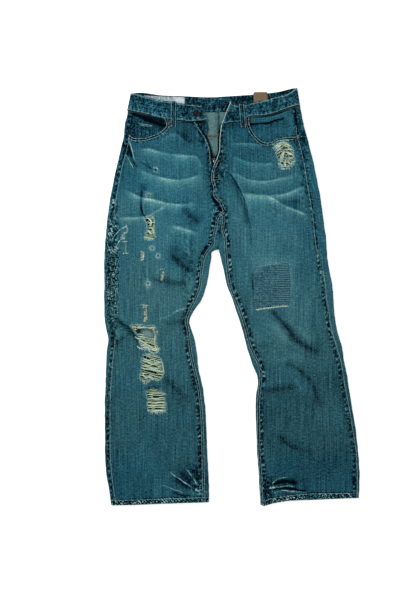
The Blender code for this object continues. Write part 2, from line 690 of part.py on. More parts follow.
def make_inner_pieces(parts):
    low = ABOVE_BACK
    plate("pocket_facing_right", RIGHT_FACING, low, low + 1.2, parts, DENIM)
    plate("pocket_facing_left", LEFT_FACING, low, low + 1.2, parts, DENIM)
    plate("fly_shield", FLY_SHIELD, low, low + 1.2, parts, DENIM)
    plate("coin_pocket", COIN_POCKET, low + 1.5, UNDER_FRONT, parts, DENIM)
    plate("pocket_bag_left", POCKET_BAG, UNDER_FRONT - THIN, UNDER_FRONT, parts, LINING)
    inside_band = HIP_LIFT + BAND_WALL + SEAM
    plate("leather_patch", LEATHER_PATCH, inside_band, inside_band + 1.2, parts, LEATHER, 0.7)
    plate("woven_label", WOVEN_LABEL, inside_band, inside_band + 0.8, parts, LABEL)


def make_back_pockets(parts):
    high = HIP_LIFT - SEAM
    plate("back_pocket_right", RIGHT_BACK_POCKET, 0.0, high, parts, DENIM)
    plate("back_pocket_left", LEFT_BACK_POCKET, 0.0, high, parts, DENIM)


def make_loops(parts):
    half = LOOP_WIDTH * 0.5
    for loop in LOOPS:
        outline = [(loop.top_x - half, loop.top_y), (loop.top_x + half, loop.top_y),
                   (loop.low_x + half, loop.low_y), (loop.low_x - half, loop.low_y)]
        low = BAND_TOP + SEAM if loop.outside else 0.0
        plate(loop.name, outline, low, low + LOOP_WALL, parts, DENIM)


def make_tape(name, fly_rows, low_x, toward_gap, parts):
    """A zip tape along a fly edge down to the slider, part of it showing past the panel."""
    edge = [(row.in_x, row.in_y) for row in fly_rows]
    edge.append((low_x, SLIDER_AT[1] + SLIDER_LENGTH * 0.5 + 2.0 * SEAM))
    inner = inset(edge, -toward_gap * 8.0)
    outer = inset(edge, toward_gap * 3.2)
    pairs = list(zip(inner, outer)) if toward_gap > 0 else list(zip(outer, inner))

    def place(column, row):
        x, y = pairs[row][column]
        return (x, y, UNDER_FRONT)

    return bent_grid(name, place, 1, len(edge) - 1, THIN, TAPE, parts)


def disc(name, x, y, low, radius, wall, bevel, colour, roughness, parts):
    bm = bmesh.new()
    bmesh.ops.create_cone(bm, cap_ends=True, segments=16, radius1=radius * MM,
                          radius2=radius * MM, depth=wall * MM)
    mesh = bpy.data.meshes.new(name)
    bm.to_mesh(mesh)
    bm.free()
    obj = add_object(name, mesh, parts, colour, roughness, 1.0)
    obj.location = Vector((x, y, low + wall * 0.5)) * MM
    rim = obj.modifiers.new("rim", "BEVEL")
    rim.width = bevel * MM
    rim.segments = 1
    rim.limit_method = "ANGLE"
    return obj


def block(name, centre, size, where, colour=None):
    bm = bmesh.new()
    bmesh.ops.create_cube(bm, size=1.0)
    bmesh.ops.scale(bm, vec=Vector(size) * MM, verts=bm.verts)
    mesh = bpy.data.meshes.new(name)
    bm.to_mesh(mesh)
    bm.free()
    obj = add_object(name, mesh, where, colour, 0.35, 1.0)
    obj.location = Vector(centre) * MM
    return obj


def rod(name, centre, radius, length, where, colour=None):
    """A cylinder along X."""
    bm = bmesh.new()
    bmesh.ops.create_cone(bm, cap_ends=True, segments=16, radius1=radius * MM,
                          radius2=radius * MM, depth=length * MM)
    mesh = bpy.data.meshes.new(name)
    bm.to_mesh(mesh)
    bm.free()
    obj = add_object(name, mesh, where, colour, 0.35, 1.0)
    obj.rotation_euler = (0.0, math.radians(90.0), 0.0)
    obj.location = Vector(centre) * MM
    return obj


EYE_RADIUS = 1.5
EYE_HOLE = 0.85
PIN_RADIUS = 0.5
SLIDER_LOW, SLIDER_HIGH = UNDER_FRONT - 2.0, UNDER_FRONT
HINGE_Z = SLIDER_HIGH + SEAM + EYE_RADIUS
HINGE_Y = SLIDER_AT[1] + 4.0
EAR_GAP = 0.35
EAR_WALL = 0.9


def make_slider(parts, cutters):
    """The slider's body with two ears and the pin that carries the pull tab."""
    x, y = SLIDER_AT
    middle = (SLIDER_LOW + SLIDER_HIGH) * 0.5
    body = block("zip_slider", (x, y, middle), (6.4, SLIDER_LENGTH, SLIDER_HIGH - SLIDER_LOW), parts, BRASS)
    ear_height = EYE_RADIUS * 2.0 + SEAM + 0.6
    ear_x = PULL_WIDTH * 0.25 + EAR_GAP + EAR_WALL * 0.5
    for side in (-1.0, 1.0):
        centre = (x + side * ear_x, HINGE_Y, SLIDER_HIGH - 0.6 + ear_height * 0.5)
        ear = block(f"slider_ear_{side:+.0f}", centre, (EAR_WALL, 2.6, ear_height), cutters)
        cut(body, ear, "UNION")
    pin = rod("slider_pin", (x, HINGE_Y, HINGE_Z), PIN_RADIUS, 2.0 * ear_x, cutters)
    cut(body, pin, "UNION")


def make_pull(parts, cutters):
    """The pull tab: an eye round the slider's pin and a flat tab that lies up the fly."""
    x = SLIDER_AT[0]
    eye = rod("zip_pull", (x, HINGE_Y, HINGE_Z), EYE_RADIUS, PULL_WIDTH * 0.5, parts, BRASS)
    neck = block("pull_neck", (x, HINGE_Y + 2.6, HINGE_Z), (PULL_WIDTH * 0.5, 4.0, 1.0), cutters)
    length = PULL_LENGTH - 4.0
    tab = block("pull_tab", (x, HINGE_Y + 4.0 + length * 0.5, HINGE_Z), (PULL_WIDTH, length, 1.0), cutters)
    hole = rod("pull_eye", (x, HINGE_Y, HINGE_Z), EYE_HOLE, PULL_WIDTH, cutters)
    cut(eye, neck, "UNION")
    cut(eye, tab, "UNION")
    cut(eye, hole)


def make_knee_patch(parts):
    """A darned patch that follows the left front, moved out from it."""
    across, along = 5, 6
    top_left, top_right, low_right, low_left = KNEE_PATCH

    def place(column, row):
        u, v = column / across, row / along
        x = lerp(lerp(top_left[0], top_right[0], u), lerp(low_left[0], low_right[0], u), v)
        y = lerp(lerp(top_left[1], top_right[1], u), lerp(low_left[1], low_right[1], u), v)
        return (x, y, top_height(x, y) + SEAM + THIN)

    return bent_grid("knee_patch", place, across, along, THIN, DARN, parts)


def make_jeans():
    clear_scene()
    parts = collection("ripped_jeans")
    cutters = collection("cutters")
    make_back("back_right", RIGHT_LEG, RIGHT_CROTCH, RIGHT_HEM, -1.0, parts)
    make_back("back_left", LEFT_LEG, LEFT_CROTCH, LEFT_HEM, 1.0, parts)
    make_yoke("yoke_right", RIGHT_LEG, -1.0, parts)
    make_yoke("yoke_left", LEFT_LEG, 1.0, parts)
    waist_right = [(band.low_x, band.low_y) for band in BAND_RIGHT + [BAND_RIGHT_SIDE]]
    waist_left = [(band.low_x, band.low_y) for band in BAND_LEFT + [BAND_LEFT_SIDE]]
    make_front("front_right", RIGHT_LEG, RIGHT_FRONT, RIGHT_HEM, -1.0, waist_right, RIGHT_RIPS,
               RIGHT_MOUTH, parts, cutters)
    make_front("front_left", LEFT_LEG, LEFT_FRONT, LEFT_HEM, 1.0, waist_left, LEFT_RIPS,
               LEFT_MOUTH, parts, cutters)
    make_waistband(parts)
    make_inner_pieces(parts)
    make_back_pockets(parts)
    make_loops(parts)
    make_tape("zip_tape_right", RIGHT_FRONT[:6], -50.8, 1.0, parts)
    make_tape("zip_tape_left", LEFT_FRONT[:6], -40.0, -1.0, parts)
    make_slider(parts, cutters)
    make_pull(parts, cutters)
    disc("button", *BUTTON_AT, BAND_TOP + SEAM, BUTTON_RADIUS, BUTTON_WALL, 0.8, BRASS, 0.4, parts)
    for name, x, y in RIVETS:
        low = HIP_TOP + fold_rise(x, y) + 3.0 * SEAM
        disc(name, x, y, low, RIVET_RADIUS, RIVET_WALL, 0.4, COPPER, 0.4, parts)
    make_knee_patch(parts)


make_jeans()
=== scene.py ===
"""Ripped five-pocket jeans, laid flat and face up with the fly half open: the finish.

Tables and shapes are in millimetres in the frame's own directions: the waist points to +Y,
the front of the garment to +Z, and the wearer's right leg lies on -X. Meshes and texture
coordinates are in metres. "wash" is how far the indigo has worn, with painted shade
and painted highlights of folds, creases, crumples and seams added in: 0 raw and dark, 1 white.
"""
import math
from collections import namedtuple

import bpy
import numpy as np
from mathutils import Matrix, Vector
from mathutils.bvhtree import BVHTree


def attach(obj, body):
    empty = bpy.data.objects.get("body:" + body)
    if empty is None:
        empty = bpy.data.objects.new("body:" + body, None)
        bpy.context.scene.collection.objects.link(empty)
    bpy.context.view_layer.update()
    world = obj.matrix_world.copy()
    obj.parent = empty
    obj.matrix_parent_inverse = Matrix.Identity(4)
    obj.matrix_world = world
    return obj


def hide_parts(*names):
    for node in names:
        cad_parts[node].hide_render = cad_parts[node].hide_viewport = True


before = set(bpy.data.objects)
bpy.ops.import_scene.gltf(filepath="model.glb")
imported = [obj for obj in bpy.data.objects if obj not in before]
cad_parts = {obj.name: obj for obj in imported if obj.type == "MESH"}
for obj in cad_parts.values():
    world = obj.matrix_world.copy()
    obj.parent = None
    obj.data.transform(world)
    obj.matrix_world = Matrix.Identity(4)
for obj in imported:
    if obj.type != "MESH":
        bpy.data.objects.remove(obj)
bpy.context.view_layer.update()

MM = 0.001
BODY = "garment"

# Driving dimensions, the same as the frame's.
EDGE_HEIGHT = 7.0          # outside height of a leg at its folded edges
BAND_HEIGHT = 7.4          # the same at the waistband
EDGE_ROUND = 3.5           # how far a folded edge rounds in plan
HIP_LIFT = 1.5             # the back pockets and loops lie under the hips
LIFT_START, LIFT_END = 100.0, 165.0
SEAM = 0.3
BAND_WALL = 2.4
BUTTON_AT = (-89.0, 459.0)
SLIDER_AT = (-45.6, 341.0)
SLIDER_LENGTH = 11.0
EYE_RADIUS = 1.5
BAND_TOP = HIP_LIFT + BAND_HEIGHT
ABOVE_BACK = 4.1           # what lies on the back panels inside
UNDER_FRONT = 6.6          # upper face of what lies under a front panel

# Dimensions of the finish.
CLOTH = 1.3                # one layer of denim
HEM_WALL = 3.0             # the turned hem
HEM_DEPTH = 14.0
HEM_BACK = 0.7             # share of the hem's wall on the back panels
FRONT_STEP = 2.35          # spacing of the fronts' meshes
BACK_STEP = 3.6
# wash is held between these limits, its painted shade included
WASH_AND_SHADE_LIMITS = (0.02, 0.98)  # least and most worn
TUCK = 3.0                 # how far a seam's lower layer runs under the upper one
TUCK_DROP = 1.9            # how far its end sinks there
LEG_FOOT = -515.0          # the lowest row of the legs' tables
ABOVE_ALL = 60.0           # where rays that look for the cloth start
LAP = 2.6                  # how far the inside seams lap


# ---------------------------------------------------------------- camera, light and floor

FLOOR_HALF = 6.0
WHITE = (1.0, 1.0, 1.0, 1.0)


def place_object(name, data):
    obj = bpy.data.objects.new(name, data)
    bpy.context.collection.objects.link(obj)
    return obj


def set_inputs(made, values):
    """Set a node's input sockets by name."""
    for name, value in values.items():
        made.inputs[name].default_value = value


def new_material(name):
    """A material with its tree and its shader."""
    material = bpy.data.materials.new(name)
    material.use_nodes = True
    return material, material.node_tree, material.node_tree.nodes["Principled BSDF"]


def make_camera():
    camera = place_object("camera", bpy.data.cameras.new("camera"))
    camera.data.lens = 85.0
    camera.data.sensor_width = 36.0
    camera.location = (-0.070, -0.0225, 3.62)
    bpy.context.scene.camera = camera


def area_light(name, place, size, power):
    lamp = bpy.data.lights.new(name, "AREA")
    lamp.shape = "DISK"
    lamp.size = size
    lamp.energy = power
    made = place_object(name, lamp)
    made.location = place
    made.rotation_euler = (-Vector(place)).to_track_quat("-Z", "Y").to_euler()


def make_studio():
    scene = bpy.context.scene
    scene.world = bpy.data.worlds.new("studio")
    scene.world.use_nodes = True
    set_inputs(scene.world.node_tree.nodes["Background"], {"Color": WHITE, "Strength": 0.50})
    area_light("key_light", (-2.1, 2.2, 2.3), 1.1, 92.0)
    area_light("fill_light", (1.8, -1.6, 2.6), 2.4, 22.0)
    scene.view_settings.view_transform = "Standard"
    floor_mesh = bpy.data.meshes.new("floor")
    corners = [(x * FLOOR_HALF, y * FLOOR_HALF, 0.0) for x, y in ((-1, -1), (1, -1), (1, 1), (-1, 1))]
    floor_mesh.from_pydata(corners, [], [(0, 1, 2, 3)])
    floor = place_object("floor", floor_mesh)
    floor.location.z = -0.0002
    paper, _, shader = new_material("paper")
    set_inputs(shader, {"Base Color": (0.95, 0.95, 0.95, 1.0), "Roughness": 0.9, "Specular IOR Level": 0.1,
                        "Emission Color": WHITE, "Emission Strength": 0.5})
    floor_mesh.materials.append(paper)


make_camera()
make_studio()


# ---------------------------------------------------------------- the garment's tables

def table(kind, rows):
    return [kind(*row) for row in rows]


# A leg's outline and seams by height: folded outer edge, outseam and inseam as they lie
# on top, folded inner edge. Above the crotch there is no inner edge.
Station = namedtuple("Station", "y outer outseam inseam inner", defaults=(None, None))
RIGHT_LEG = table(Station, [
    (472, -262, -250), (462.5, -261, -252), (427.5, -268.5, -257), (407.5, -270, -258.5),
    (372.5, -277.5, -265), (327.5, -288, -277), (282.5, -298, -286), (237.5, -306, -294),
    (192.5, -312.5, -299), (147.5, -316.5, -302.5), (102.5, -319.5, -305, -71.5, -51.5),
    (57.5, -320, -305, -80, -58), (27.5, -319.5, -304, -83, -64), (-2.5, -320, -304, -94, -74),
    (-17.5, -320, -304, -102, -82.5), (-32.5, -319.5, -303, -109, -93.5),
    (-47.5, -319, -302.5, -115, -102.5), (-62.5, -317.5, -301, -117.5, -106.5),
    (-77.5, -315, -299, -114.5, -102.5), (-107.5, -309.5, -296, -110.5, -93),
    (-137.5, -313.5, -299, -106.5, -88), (-182.5, -315.5, -303, -97, -83), (-227.5, -317, -306, -87, -72.5),
    (-272.5, -318.5, -308, -81, -67), (-332.5, -318, -308, -77.5, -63.5),
    (-392.5, -318, -307.5, -76, -61.5), (-437.5, -315, -304.5, -75.5, -59),
    (-482.5, -307.5, -299, -74, -57), (-515, -302.5, -294, -73.5, -57.5)])
LEFT_LEG = table(Station, [
    (482, 170, 152), (462.5, 172.5, 156.5), (427.5, 180, 161.5), (407.5, 186, 165), (372.5, 195, 174),
    (327.5, 206, 184), (282.5, 215, 191), (237.5, 223, 199), (192.5, 229, 206), (152.5, 235, 209.5),
    (117.5, 237.5, 214.5), (102.5, 238.5, 217, -11, -29.5), (72.5, 242.5, 221, -8, -22.5),
    (27.5, 251.5, 228.5, -0.5, -12), (-2.5, 253.5, 231.5, 10.5, 0), (-32.5, 256, 236.5, 23, 10),
    (-62.5, 259.5, 241, 33, 20), (-92.5, 265.5, 246.5, 41.5, 29), (-122.5, 275, 255.5, 49, 36),
    (-167.5, 282, 268.5, 69.5, 50.5), (-200, 289, 274, 76, 63.5), (-212.5, 290.5, 275.5, 75, 65),
    (-242.5, 295, 281, 71.5, 60.5), (-272.5, 300, 287, 70, 59), (-332.5, 310, 297, 70, 61),
    (-392.5, 316.5, 306, 71.5, 63), (-437.5, 319.5, 308, 75, 66.5), (-482.5, 319, 308, 77, 69),
    (-515, 318, 307.5, 78.5, 71)])

# The hem's lower edge, as (x, y) along each leg.
RIGHT_HEM = [(-303, -521), (-250, -520), (-57, -513)]
LEFT_HEM = [(70, -519), (80, -522.5), (102, -516), (142, -509.5), (318, -502.5)]

# Rows across a front panel above the leg, from the outseam to the fly, rise and inseam.
FrontRow = namedtuple("FrontRow", "out_y in_x in_y")
RIGHT_FRONT = table(FrontRow, [
    (462.5, -91, 437), (445, -83.5, 425), (427.5, -75.5, 412.5), (407.5, -65.5, 399), (390, -59, 383),
    (372.5, -54.5, 367.5), (350, -52, 346), (327.5, -50.5, 333), (305, -51.5, 312.5), (282.5, -52.5, 292.5),
    (265, -46.6, 272), (250, -46, 251), (237.5, -31.5, 234.5), (214, -23, 215), (192.5, -39, 200),
    (178, -42, 180), (164, -48.5, 152.5), (147.5, -50.5, 132.5), (125, -62.5, 118.5)])
LEFT_FRONT = table(FrontRow, [
    (476, -27.5, 430), (452, -29, 416), (427.5, -31, 399), (407.5, -31.5, 383), (372.5, -32, 367.5),
    (360, -35, 356), (345, -40, 342.5), (327.5, -45, 332), (305, -51.5, 312.5), (282.5, -52.5, 292.5),
    (265, -46.6, 272), (250, -46, 251), (237.5, -31.5, 234.5), (214, -23, 215), (192.5, -18, 200),
    (170, -19, 165), (152.5, -14.5, 152), (135, -13, 132), (117.5, -12, 117)])

# Rows across a back panel that end at the centre back seam, under the hips.
SeatRow = namedtuple("SeatRow", "out_y x y")
SEAT = table(SeatRow, [
    (427.5, -32, 402), (407.5, -32, 380), (372.5, -32.5, 345), (327.5, -33, 305), (282.5, -33.5, 265),
    (237.5, -34, 218), (192.5, -34.5, 160), (178, -35, 125)])

# Rows that turn over the fold at the crotch. fold is where the row crosses the fold, turn the
# way the fold faces in degrees, drift how far the row slides along it, reach the angle where
# it ends in the fold, or None where it ends on top at (x, y).
CrotchRow = namedtuple("CrotchRow", "out_y fold_x fold_y turn drift reach x y", defaults=(None,) * 3)
RIGHT_CROTCH = table(CrotchRow, [
    (174, -36.2, 117.6, -90, 1.2, -30), (170, -36.2, 117.6, -90, 2.2, 30),
    (166, -36, 117.6, -90, 3, None, -35.8, 122), (162, -37, 117.5, -90, 3, None, -32.4, 140),
    (157, -38.5, 117.3, -90, 2.8, None, -28.5, 175), (152, -40.5, 116.9, -90, 2.4, None, -23, 215),
    (147.5, -42.8, 116.3, -86, 2, None, -39, 200), (140, -45, 115.5, -76, 1.2, None, -42, 180),
    (132, -48, 114, -62, 0.5, None, -48.5, 152.5), (123, -50.5, 111.5, -42, 0, None, -50.5, 132.5),
    (113, -52, 107.5, -15, 0, None, -62.5, 118.5)])
LEFT_CROTCH = table(CrotchRow, [
    (174, -33.8, 117.6, -90, -1.2, -30), (170, -33.8, 117.6, -90, -2.2, 30),
    (166, -33.8, 117.5, -90, -3, None, -34.2, 122), (162, -33.5, 117.3, -96, -2.8, None, -32.4, 140),
    (157, -33.2, 117, -104, -2.4, None, -28.5, 175), (152.5, -32.9, 116.4, -112, -1.8, None, -23, 215),
    (144, -32.5, 115.4, -122, -1.2, None, -18, 200), (136, -32.2, 114, -132, -0.6, None, -19, 165),
    (127, -31.5, 111.5, -145, 0, None, -14.5, 152), (117.5, -30.6, 108, -157, 0, None, -13, 132),
    (110, -30, 105, -168, 0, None, -12, 117)])

# The waistband as one strip: its upper and lower edge, first on the right front half from its
# end to the side, then across the back, then on the left front half from the side to its end.
Band = namedtuple("Band", "top_x top_y low_x low_y")
BAND_RIGHT = table(Band, [
    (-76.5, 479, -61, 442), (-102, 481, -100, 438), (-130, 484.5, -130, 440.5),
    (-172.5, 491, -177.5, 446.5), (-207.5, 498.5, -220, 457.5), (-236, 507, -248.5, 463.5)])
BAND_BACK = table(Band, [
    (-245, 510, -254, 466), (-172.5, 504.5, -175, 463), (-117.5, 502.5, -118, 462.5),
    (-58.5, 500, -58, 462.5), (0, 503, 0, 464), (52.5, 506.5, 53, 466), (119, 514, 121, 472),
    (158, 522.5, 164, 478)])
BAND_LEFT = table(Band, [
    (157, 519.5, 163, 477.5), (135, 506, 132, 468.5), (107.5, 500, 104.5, 458.5), (90, 493.5, 76.5, 453),
    (54.5, 486.5, 44, 450.5), (27.5, 480, 20, 437.5), (2, 482, -5, 435.5), (-3.5, 490.5, -26.5, 430.5)])
BAND_RIGHT_SIDE = Band(-253.5, 509, -262.5, 466)
BAND_LEFT_SIDE = Band(163.5, 522.5, 170.5, 478.5)

# Outlines in plan. A mouth's first and last points lie outside the cloth.
RIGHT_MOUTH = [
    (-300, 500), (-300, 412), (-261, 407.5), (-246.5, 399), (-220, 398.5), (-200.5, 404), (-184, 410.5),
    (-172, 419), (-165, 428.5), (-167, 438), (-175, 452), (-175, 500)]
LEFT_MOUTH = [
    (200, 520), (200, 404), (164, 402), (130, 399.5), (111, 396), (96.5, 388), (79, 388), (63.5, 399.5),
    (52.5, 413), (45.5, 428.5), (44, 460), (44, 520)]
RIGHT_FACING = [
    (-249, 462), (-214, 454), (-172, 444), (-150, 440.5), (-152, 410), (-190, 385), (-225, 378),
    (-253.5, 383), (-254, 430)]
LEFT_FACING = [
    (153, 472), (128, 465), (104, 457), (76, 451), (36, 446), (38, 410), (60, 380), (90, 368), (130, 376),
    (159, 385), (158, 430)]
COIN_POCKET = [(-231, 434.5), (-200.5, 430), (-199, 392), (-232, 392)]
POCKET_BAG = [
    (163, 396), (130, 394), (111, 391), (97, 383), (79, 383), (60, 394), (42, 420), (34, 390), (36, 330),
    (52, 296), (90, 284), (140, 290), (168, 312), (171, 360)]
RIGHT_BACK_POCKET = [(-237, 372), (-92, 360), (-90, 240), (-160, 214), (-232, 246)]
LEFT_BACK_POCKET = [(26, 360), (150, 374), (158, 248), (94, 214), (24, 240)]
FLY_SHIELD = [
    (-106, 438), (-62, 440), (-58.5, 422), (-63, 401), (-66, 380), (-64, 352), (-90, 352), (-104, 390)]
KNEE_DARN = [
    (50, 60), (55, 66), (66, 72), (90, 79), (118, 82.5), (140, 83), (141, 78), (141, -18), (140, -23),
    (120, -24.5), (92, -25), (62, -29), (57, -27), (53, 0), (49.5, 40)]
LEATHER_PATCH = [(53.5, 512.5), (88.5, 513), (90.5, 480), (55, 477)]
WOVEN_LABEL = [(-222, 504), (-118, 500.5), (-118, 474), (-222, 478)]

# Rips cut right through the fronts. Their weft stays across them: lean is its slope at the
# top and at the bottom, bow how far it arches. A gap pushes the weft apart round (x, y),
# and a bare place has lost it.
Gap = namedtuple("Gap", "x y half_length half_height")
Rip = namedtuple("Rip", "outline lean_top lean_low bow seed gaps bare")


def new_rip(outline, lean_top, lean_low, bow, seed, gaps, bare=()):
    return Rip(outline, lean_top, lean_low, bow, seed, table(Gap, gaps), table(Gap, bare))


KNEE_RIP = new_rip(
    [(-254, -73), (-240, -70), (-214, -73), (-193, -75), (-189, -83), (-190, -110), (-188, -136),
     (-195, -139), (-207, -130), (-221, -130), (-228, -118), (-231, -105), (-237, -93), (-245, -82)],
    0, -0.42, 0, 31,
    [(-247, -80, 7, 1.2), (-192, -83, 6, 1.6), (-226, -108, 10, 2.6), (-201, -120, 15, 2.4),
     (-190, -110, 6, 1.6), (-217, -127, 12, 3.4)],
    [(-229, -86, 12, 5.5), (-212, -87, 14, 9), (-205, -92, 14, 11)])
SHIN_RIP = new_rip(
    [(-221, -145), (-205, -144), (-178, -156), (-176, -172), (-173, -196), (-182, -206), (-197, -203),
     (-215, -212), (-227, -202), (-226, -172), (-225, -155)],
    -0.24, -0.2, 0, 32,
    [(-212, -153, 9, 3.8), (-195, -160, 9, 1.8), (-213, -166, 10, 3), (-197, -171, 9, 1.7),
     (-215, -177, 9, 1.9), (-207, -186, 11, 2.6), (-192, -190, 11, 2.6), (-213, -194, 8, 2.4),
     (-200, -200, 8, 2.6)])
LOW_RIP = new_rip(
    [(-212, -235), (-197, -231), (-181, -234), (-170, -240), (-167, -262), (-167, -284), (-186, -287),
     (-203, -284), (-211, -277), (-210, -257)],
    0, 0, 0, 33,
    [(-195, -251, 14, 2.3), (-197, -258, 16, 1.2), (-205, -266, 6, 2), (-180, -267, 8, 1.5),
     (-192, -278, 16, 1.3), (-187, -243, 11, 1)])
THIGH_RIP = new_rip(
    [(-218, 195), (-208, 200), (-200, 201), (-194, 195), (-195, 180), (-194, 167), (-194, 152), (-198, 146),
     (-210, 145), (-217, 149), (-214, 160), (-211, 172), (-213, 185)],
    0.25, -0.2, 0, 34,
    [(-214, 191, 7, 3.4), (-209, 180, 4, 2.4), (-198, 181, 4, 2.8), (-204, 168, 7, 2), (-209, 160, 4, 2.4),
     (-199, 155, 3, 2)])
POCKET_RIP = new_rip(
    [(104, 384), (117, 389), (130, 388), (142, 383), (148, 375), (153, 365), (154, 352), (156, 342),
     (153, 334), (145, 329), (139, 324), (130, 322), (122, 326), (118, 338), (113, 352), (110, 367)],
    0, 0, 15, 35,
    [(107, 381, 6, 2.6), (112, 374, 6, 2.4), (129, 372, 4, 3), (120, 362, 4, 2.8), (147, 364, 7, 2.2),
     (145, 352, 8, 4), (142, 374, 8, 1.6), (125, 335, 4, 2.6), (118, 350, 3, 2.8), (139, 334, 4, 2)])
RIGHT_RIPS = [KNEE_RIP, SHIN_RIP, LOW_RIP, THIGH_RIP]
LEFT_RIPS = [POCKET_RIP]

# Small places worn through to the weft, by centre and half sizes.
Spot = namedtuple("Spot", "x y half_x half_y colour seed")
SPOTS = table(Spot, [
    (-191, 318, 5, 7, "cream", 41), (-209, 253, 7, 8, "cream", 42), (-185, 103, 5, 6, "white", 44),
    (-210, 32, 6, 8, "cream", 46), (-200, 122, 6, 5, "white", 48)])

# Upright places worn down to their weft: a path, a width and a colour.
WORN_BARS = [
    ([(-227, 114), (-225, 106), (-227, 98), (-224, 90)], 5.4, "cream"),
    ([(-222, 113), (-221, 104), (-223, 93)], 3.8, "white"), ([(-224, 110), (-224, 96)], 1.6, "tan"),
    ([(-180, 69), (-167, 70)], 3, "cream"), ([(-172, 63), (-174, 53), (-176, 42)], 6.4, "straw"),
    ([(-169, 60), (-171, 50)], 2.2, "cream"),
    ([(-221, -18), (-219, -33), (-217, -48), (-219, -62)], 6.4, "straw"),
    ([(-215, -20), (-214, -38), (-213, -56)], 3.6, "straw"),
    ([(-228, -20), (-218, -22), (-208, -20)], 2.4, "white"),
    ([(-203, 128), (-200, 120), (-197, 124)], 3, "pale")]

# White thread sewn over worn cloth beside the right outseam: a path and a width.
MENDS = [
    ([(-264, 179), (-264, 175), (-261, 171), (-261, 167), (-263, 162), (-270, 157), (-275, 151),
     (-269, 147), (-277, 144), (-284, 136)], 3.2, "mending"),
    ([(-266, 176), (-275, 171), (-282, 166), (-288, 159), (-293, 155)], 2.4, "mending"),
    ([(-262, 172), (-261, 163)], 3.4, "tan"), ([(-272, 161), (-263, 161)], 2.4, "cream"),
    ([(-277, 155), (-266, 152)], 2.6, "mending"), ([(-278, 149), (-268, 146)], 2.6, "cream"),
    ([(-302, 161), (-308, 159), (-306, 153)], 2.8, "mending"),
    ([(-267, 137), (-265, 130), (-265.5, 120), (-265, 110)], 2.8, "cream"),
    ([(-272, 138), (-262, 139)], 2.4, "mending"), ([(-272, 108.5), (-260, 109)], 3, "mending"),
    ([(-300, 120), (-295, 112)], 2.4, "mending"),
    ([(-293, 125), (-285, 121), (-293, 118), (-288, 114)], 2.6, "mending"),
    ([(-306, 118), (-302, 110), (-299, 116), (-292, 110)], 2.4, "mending"),
    ([(-311, 131), (-309, 125), (-306, 120)], 2, "cream")]

# Thick frayed yarn laid over the rips: a path, a radius and a colour.
TUFTS = [
    ([(-192, -92), (-193, -112), (-191, -128), (-187, -139)], 1, "cream"),
    ([(-241, -102), (-232, -107), (-222, -113), (-211, -120), (-199, -128), (-189, -135)], 1.1, "cream"),
    ([(-243, -99), (-236, -103), (-228, -104)], 1.3, "white"),
    ([(-256, -72), (-246, -77), (-237, -76)], 1.2, "tan"),
    ([(-238, -71), (-228, -76), (-219, -75)], 1, "cream"),
    ([(-214, -74), (-206, -79), (-198, -77), (-192, -84)], 1.1, "cream"),
    ([(-214, -80), (-204, -84), (-199, -90)], 0.8, "indigo"),
    ([(-199, -80), (-194, -86), (-191, -92)], 1.1, "cream"),
    ([(-238, -122), (-230, -128), (-219, -126), (-208, -128), (-200, -131)], 1.3, "white"),
    ([(-224, -160), (-212, -163), (-200, -168), (-186, -166), (-176, -160)], 1.3, "cream"),
    ([(-225, -172), (-213, -173), (-200, -179), (-190, -180), (-176, -174)], 1.3, "cream"),
    ([(-176, -160), (-173, -174), (-171, -190), (-174, -200)], 1.4, "cream"),
    ([(-224, -192), (-214, -201), (-206, -199), (-196, -203)], 1.3, "white"),
    ([(-212, -254), (-200, -254), (-190, -256), (-166, -254)], 1.3, "cream"),
    ([(-213, -271), (-200, -272), (-182, -271), (-166, -273)], 1.3, "cream"),
    ([(-212, -283), (-198, -286), (-182, -284), (-166, -283)], 1.3, "white"),
    ([(-210, 197), (-202, 189), (-202, 182), (-206, 177)], 1.3, "cream"),
    ([(-206, 175), (-199, 171), (-196, 165), (-197, 155)], 1.4, "cream"),
    ([(-210, 167), (-205, 161), (-200, 157)], 1.2, "white"),
    ([(-216, 150), (-209, 148), (-200, 146)], 1.3, "cream"),
    ([(102, 371), (115, 379), (124, 386)], 1.3, "white"),
    ([(105, 366), (115, 373), (122, 379)], 1.2, "white"),
    ([(111, 365), (120, 371), (125, 375)], 1.2, "white"),
    ([(122, 385), (131, 385), (140, 381), (146, 375)], 1.3, "cream"),
    ([(125, 380), (134, 379), (144, 371)], 1.2, "cream"),
    ([(134, 367), (144, 369), (154, 367)], 1.4, "cream"),
    ([(136, 362), (145, 357), (155, 355)], 1.4, "white"),
    ([(140, 347), (149, 347), (156, 352)], 1.3, "cream"),
    ([(131, 365), (126, 357), (122, 347), (121, 337)], 1.6, "cream"),
    ([(130, 362), (129, 355), (127, 347), (126, 340)], 1.2, "tan"),
    ([(117, 337), (122, 330), (127, 325)], 1.5, "white"),
    ([(134, 342), (132, 335), (134, 325)], 1.5, "white"),
    ([(139, 340), (147, 332), (152, 337), (159, 339)], 1.4, "cream")]

# Loops by name: centre line at the top and bottom ends, and which face carries them.
Loop = namedtuple("Loop", "name top_x top_y low_x low_y outside")
LOOP_HALF = 7.0            # half a loop's width
LOOPS = table(Loop, [
    ("belt_loop_1", -146.5, 489, -146.5, 426, True), ("belt_loop_2", 23.5, 482, 28.5, 423.5, True),
    ("belt_loop_3", 122, 511, 124, 449, False), ("belt_loop_4", -32, 500, -32, 439, False),
    ("belt_loop_5", -178, 503, -179, 441, False)])
RIVETS = [("rivet_1", -159.5, 437), ("rivet_2", -254, 403), ("rivet_3", 42.5, 438), ("rivet_4", 162, 395)]
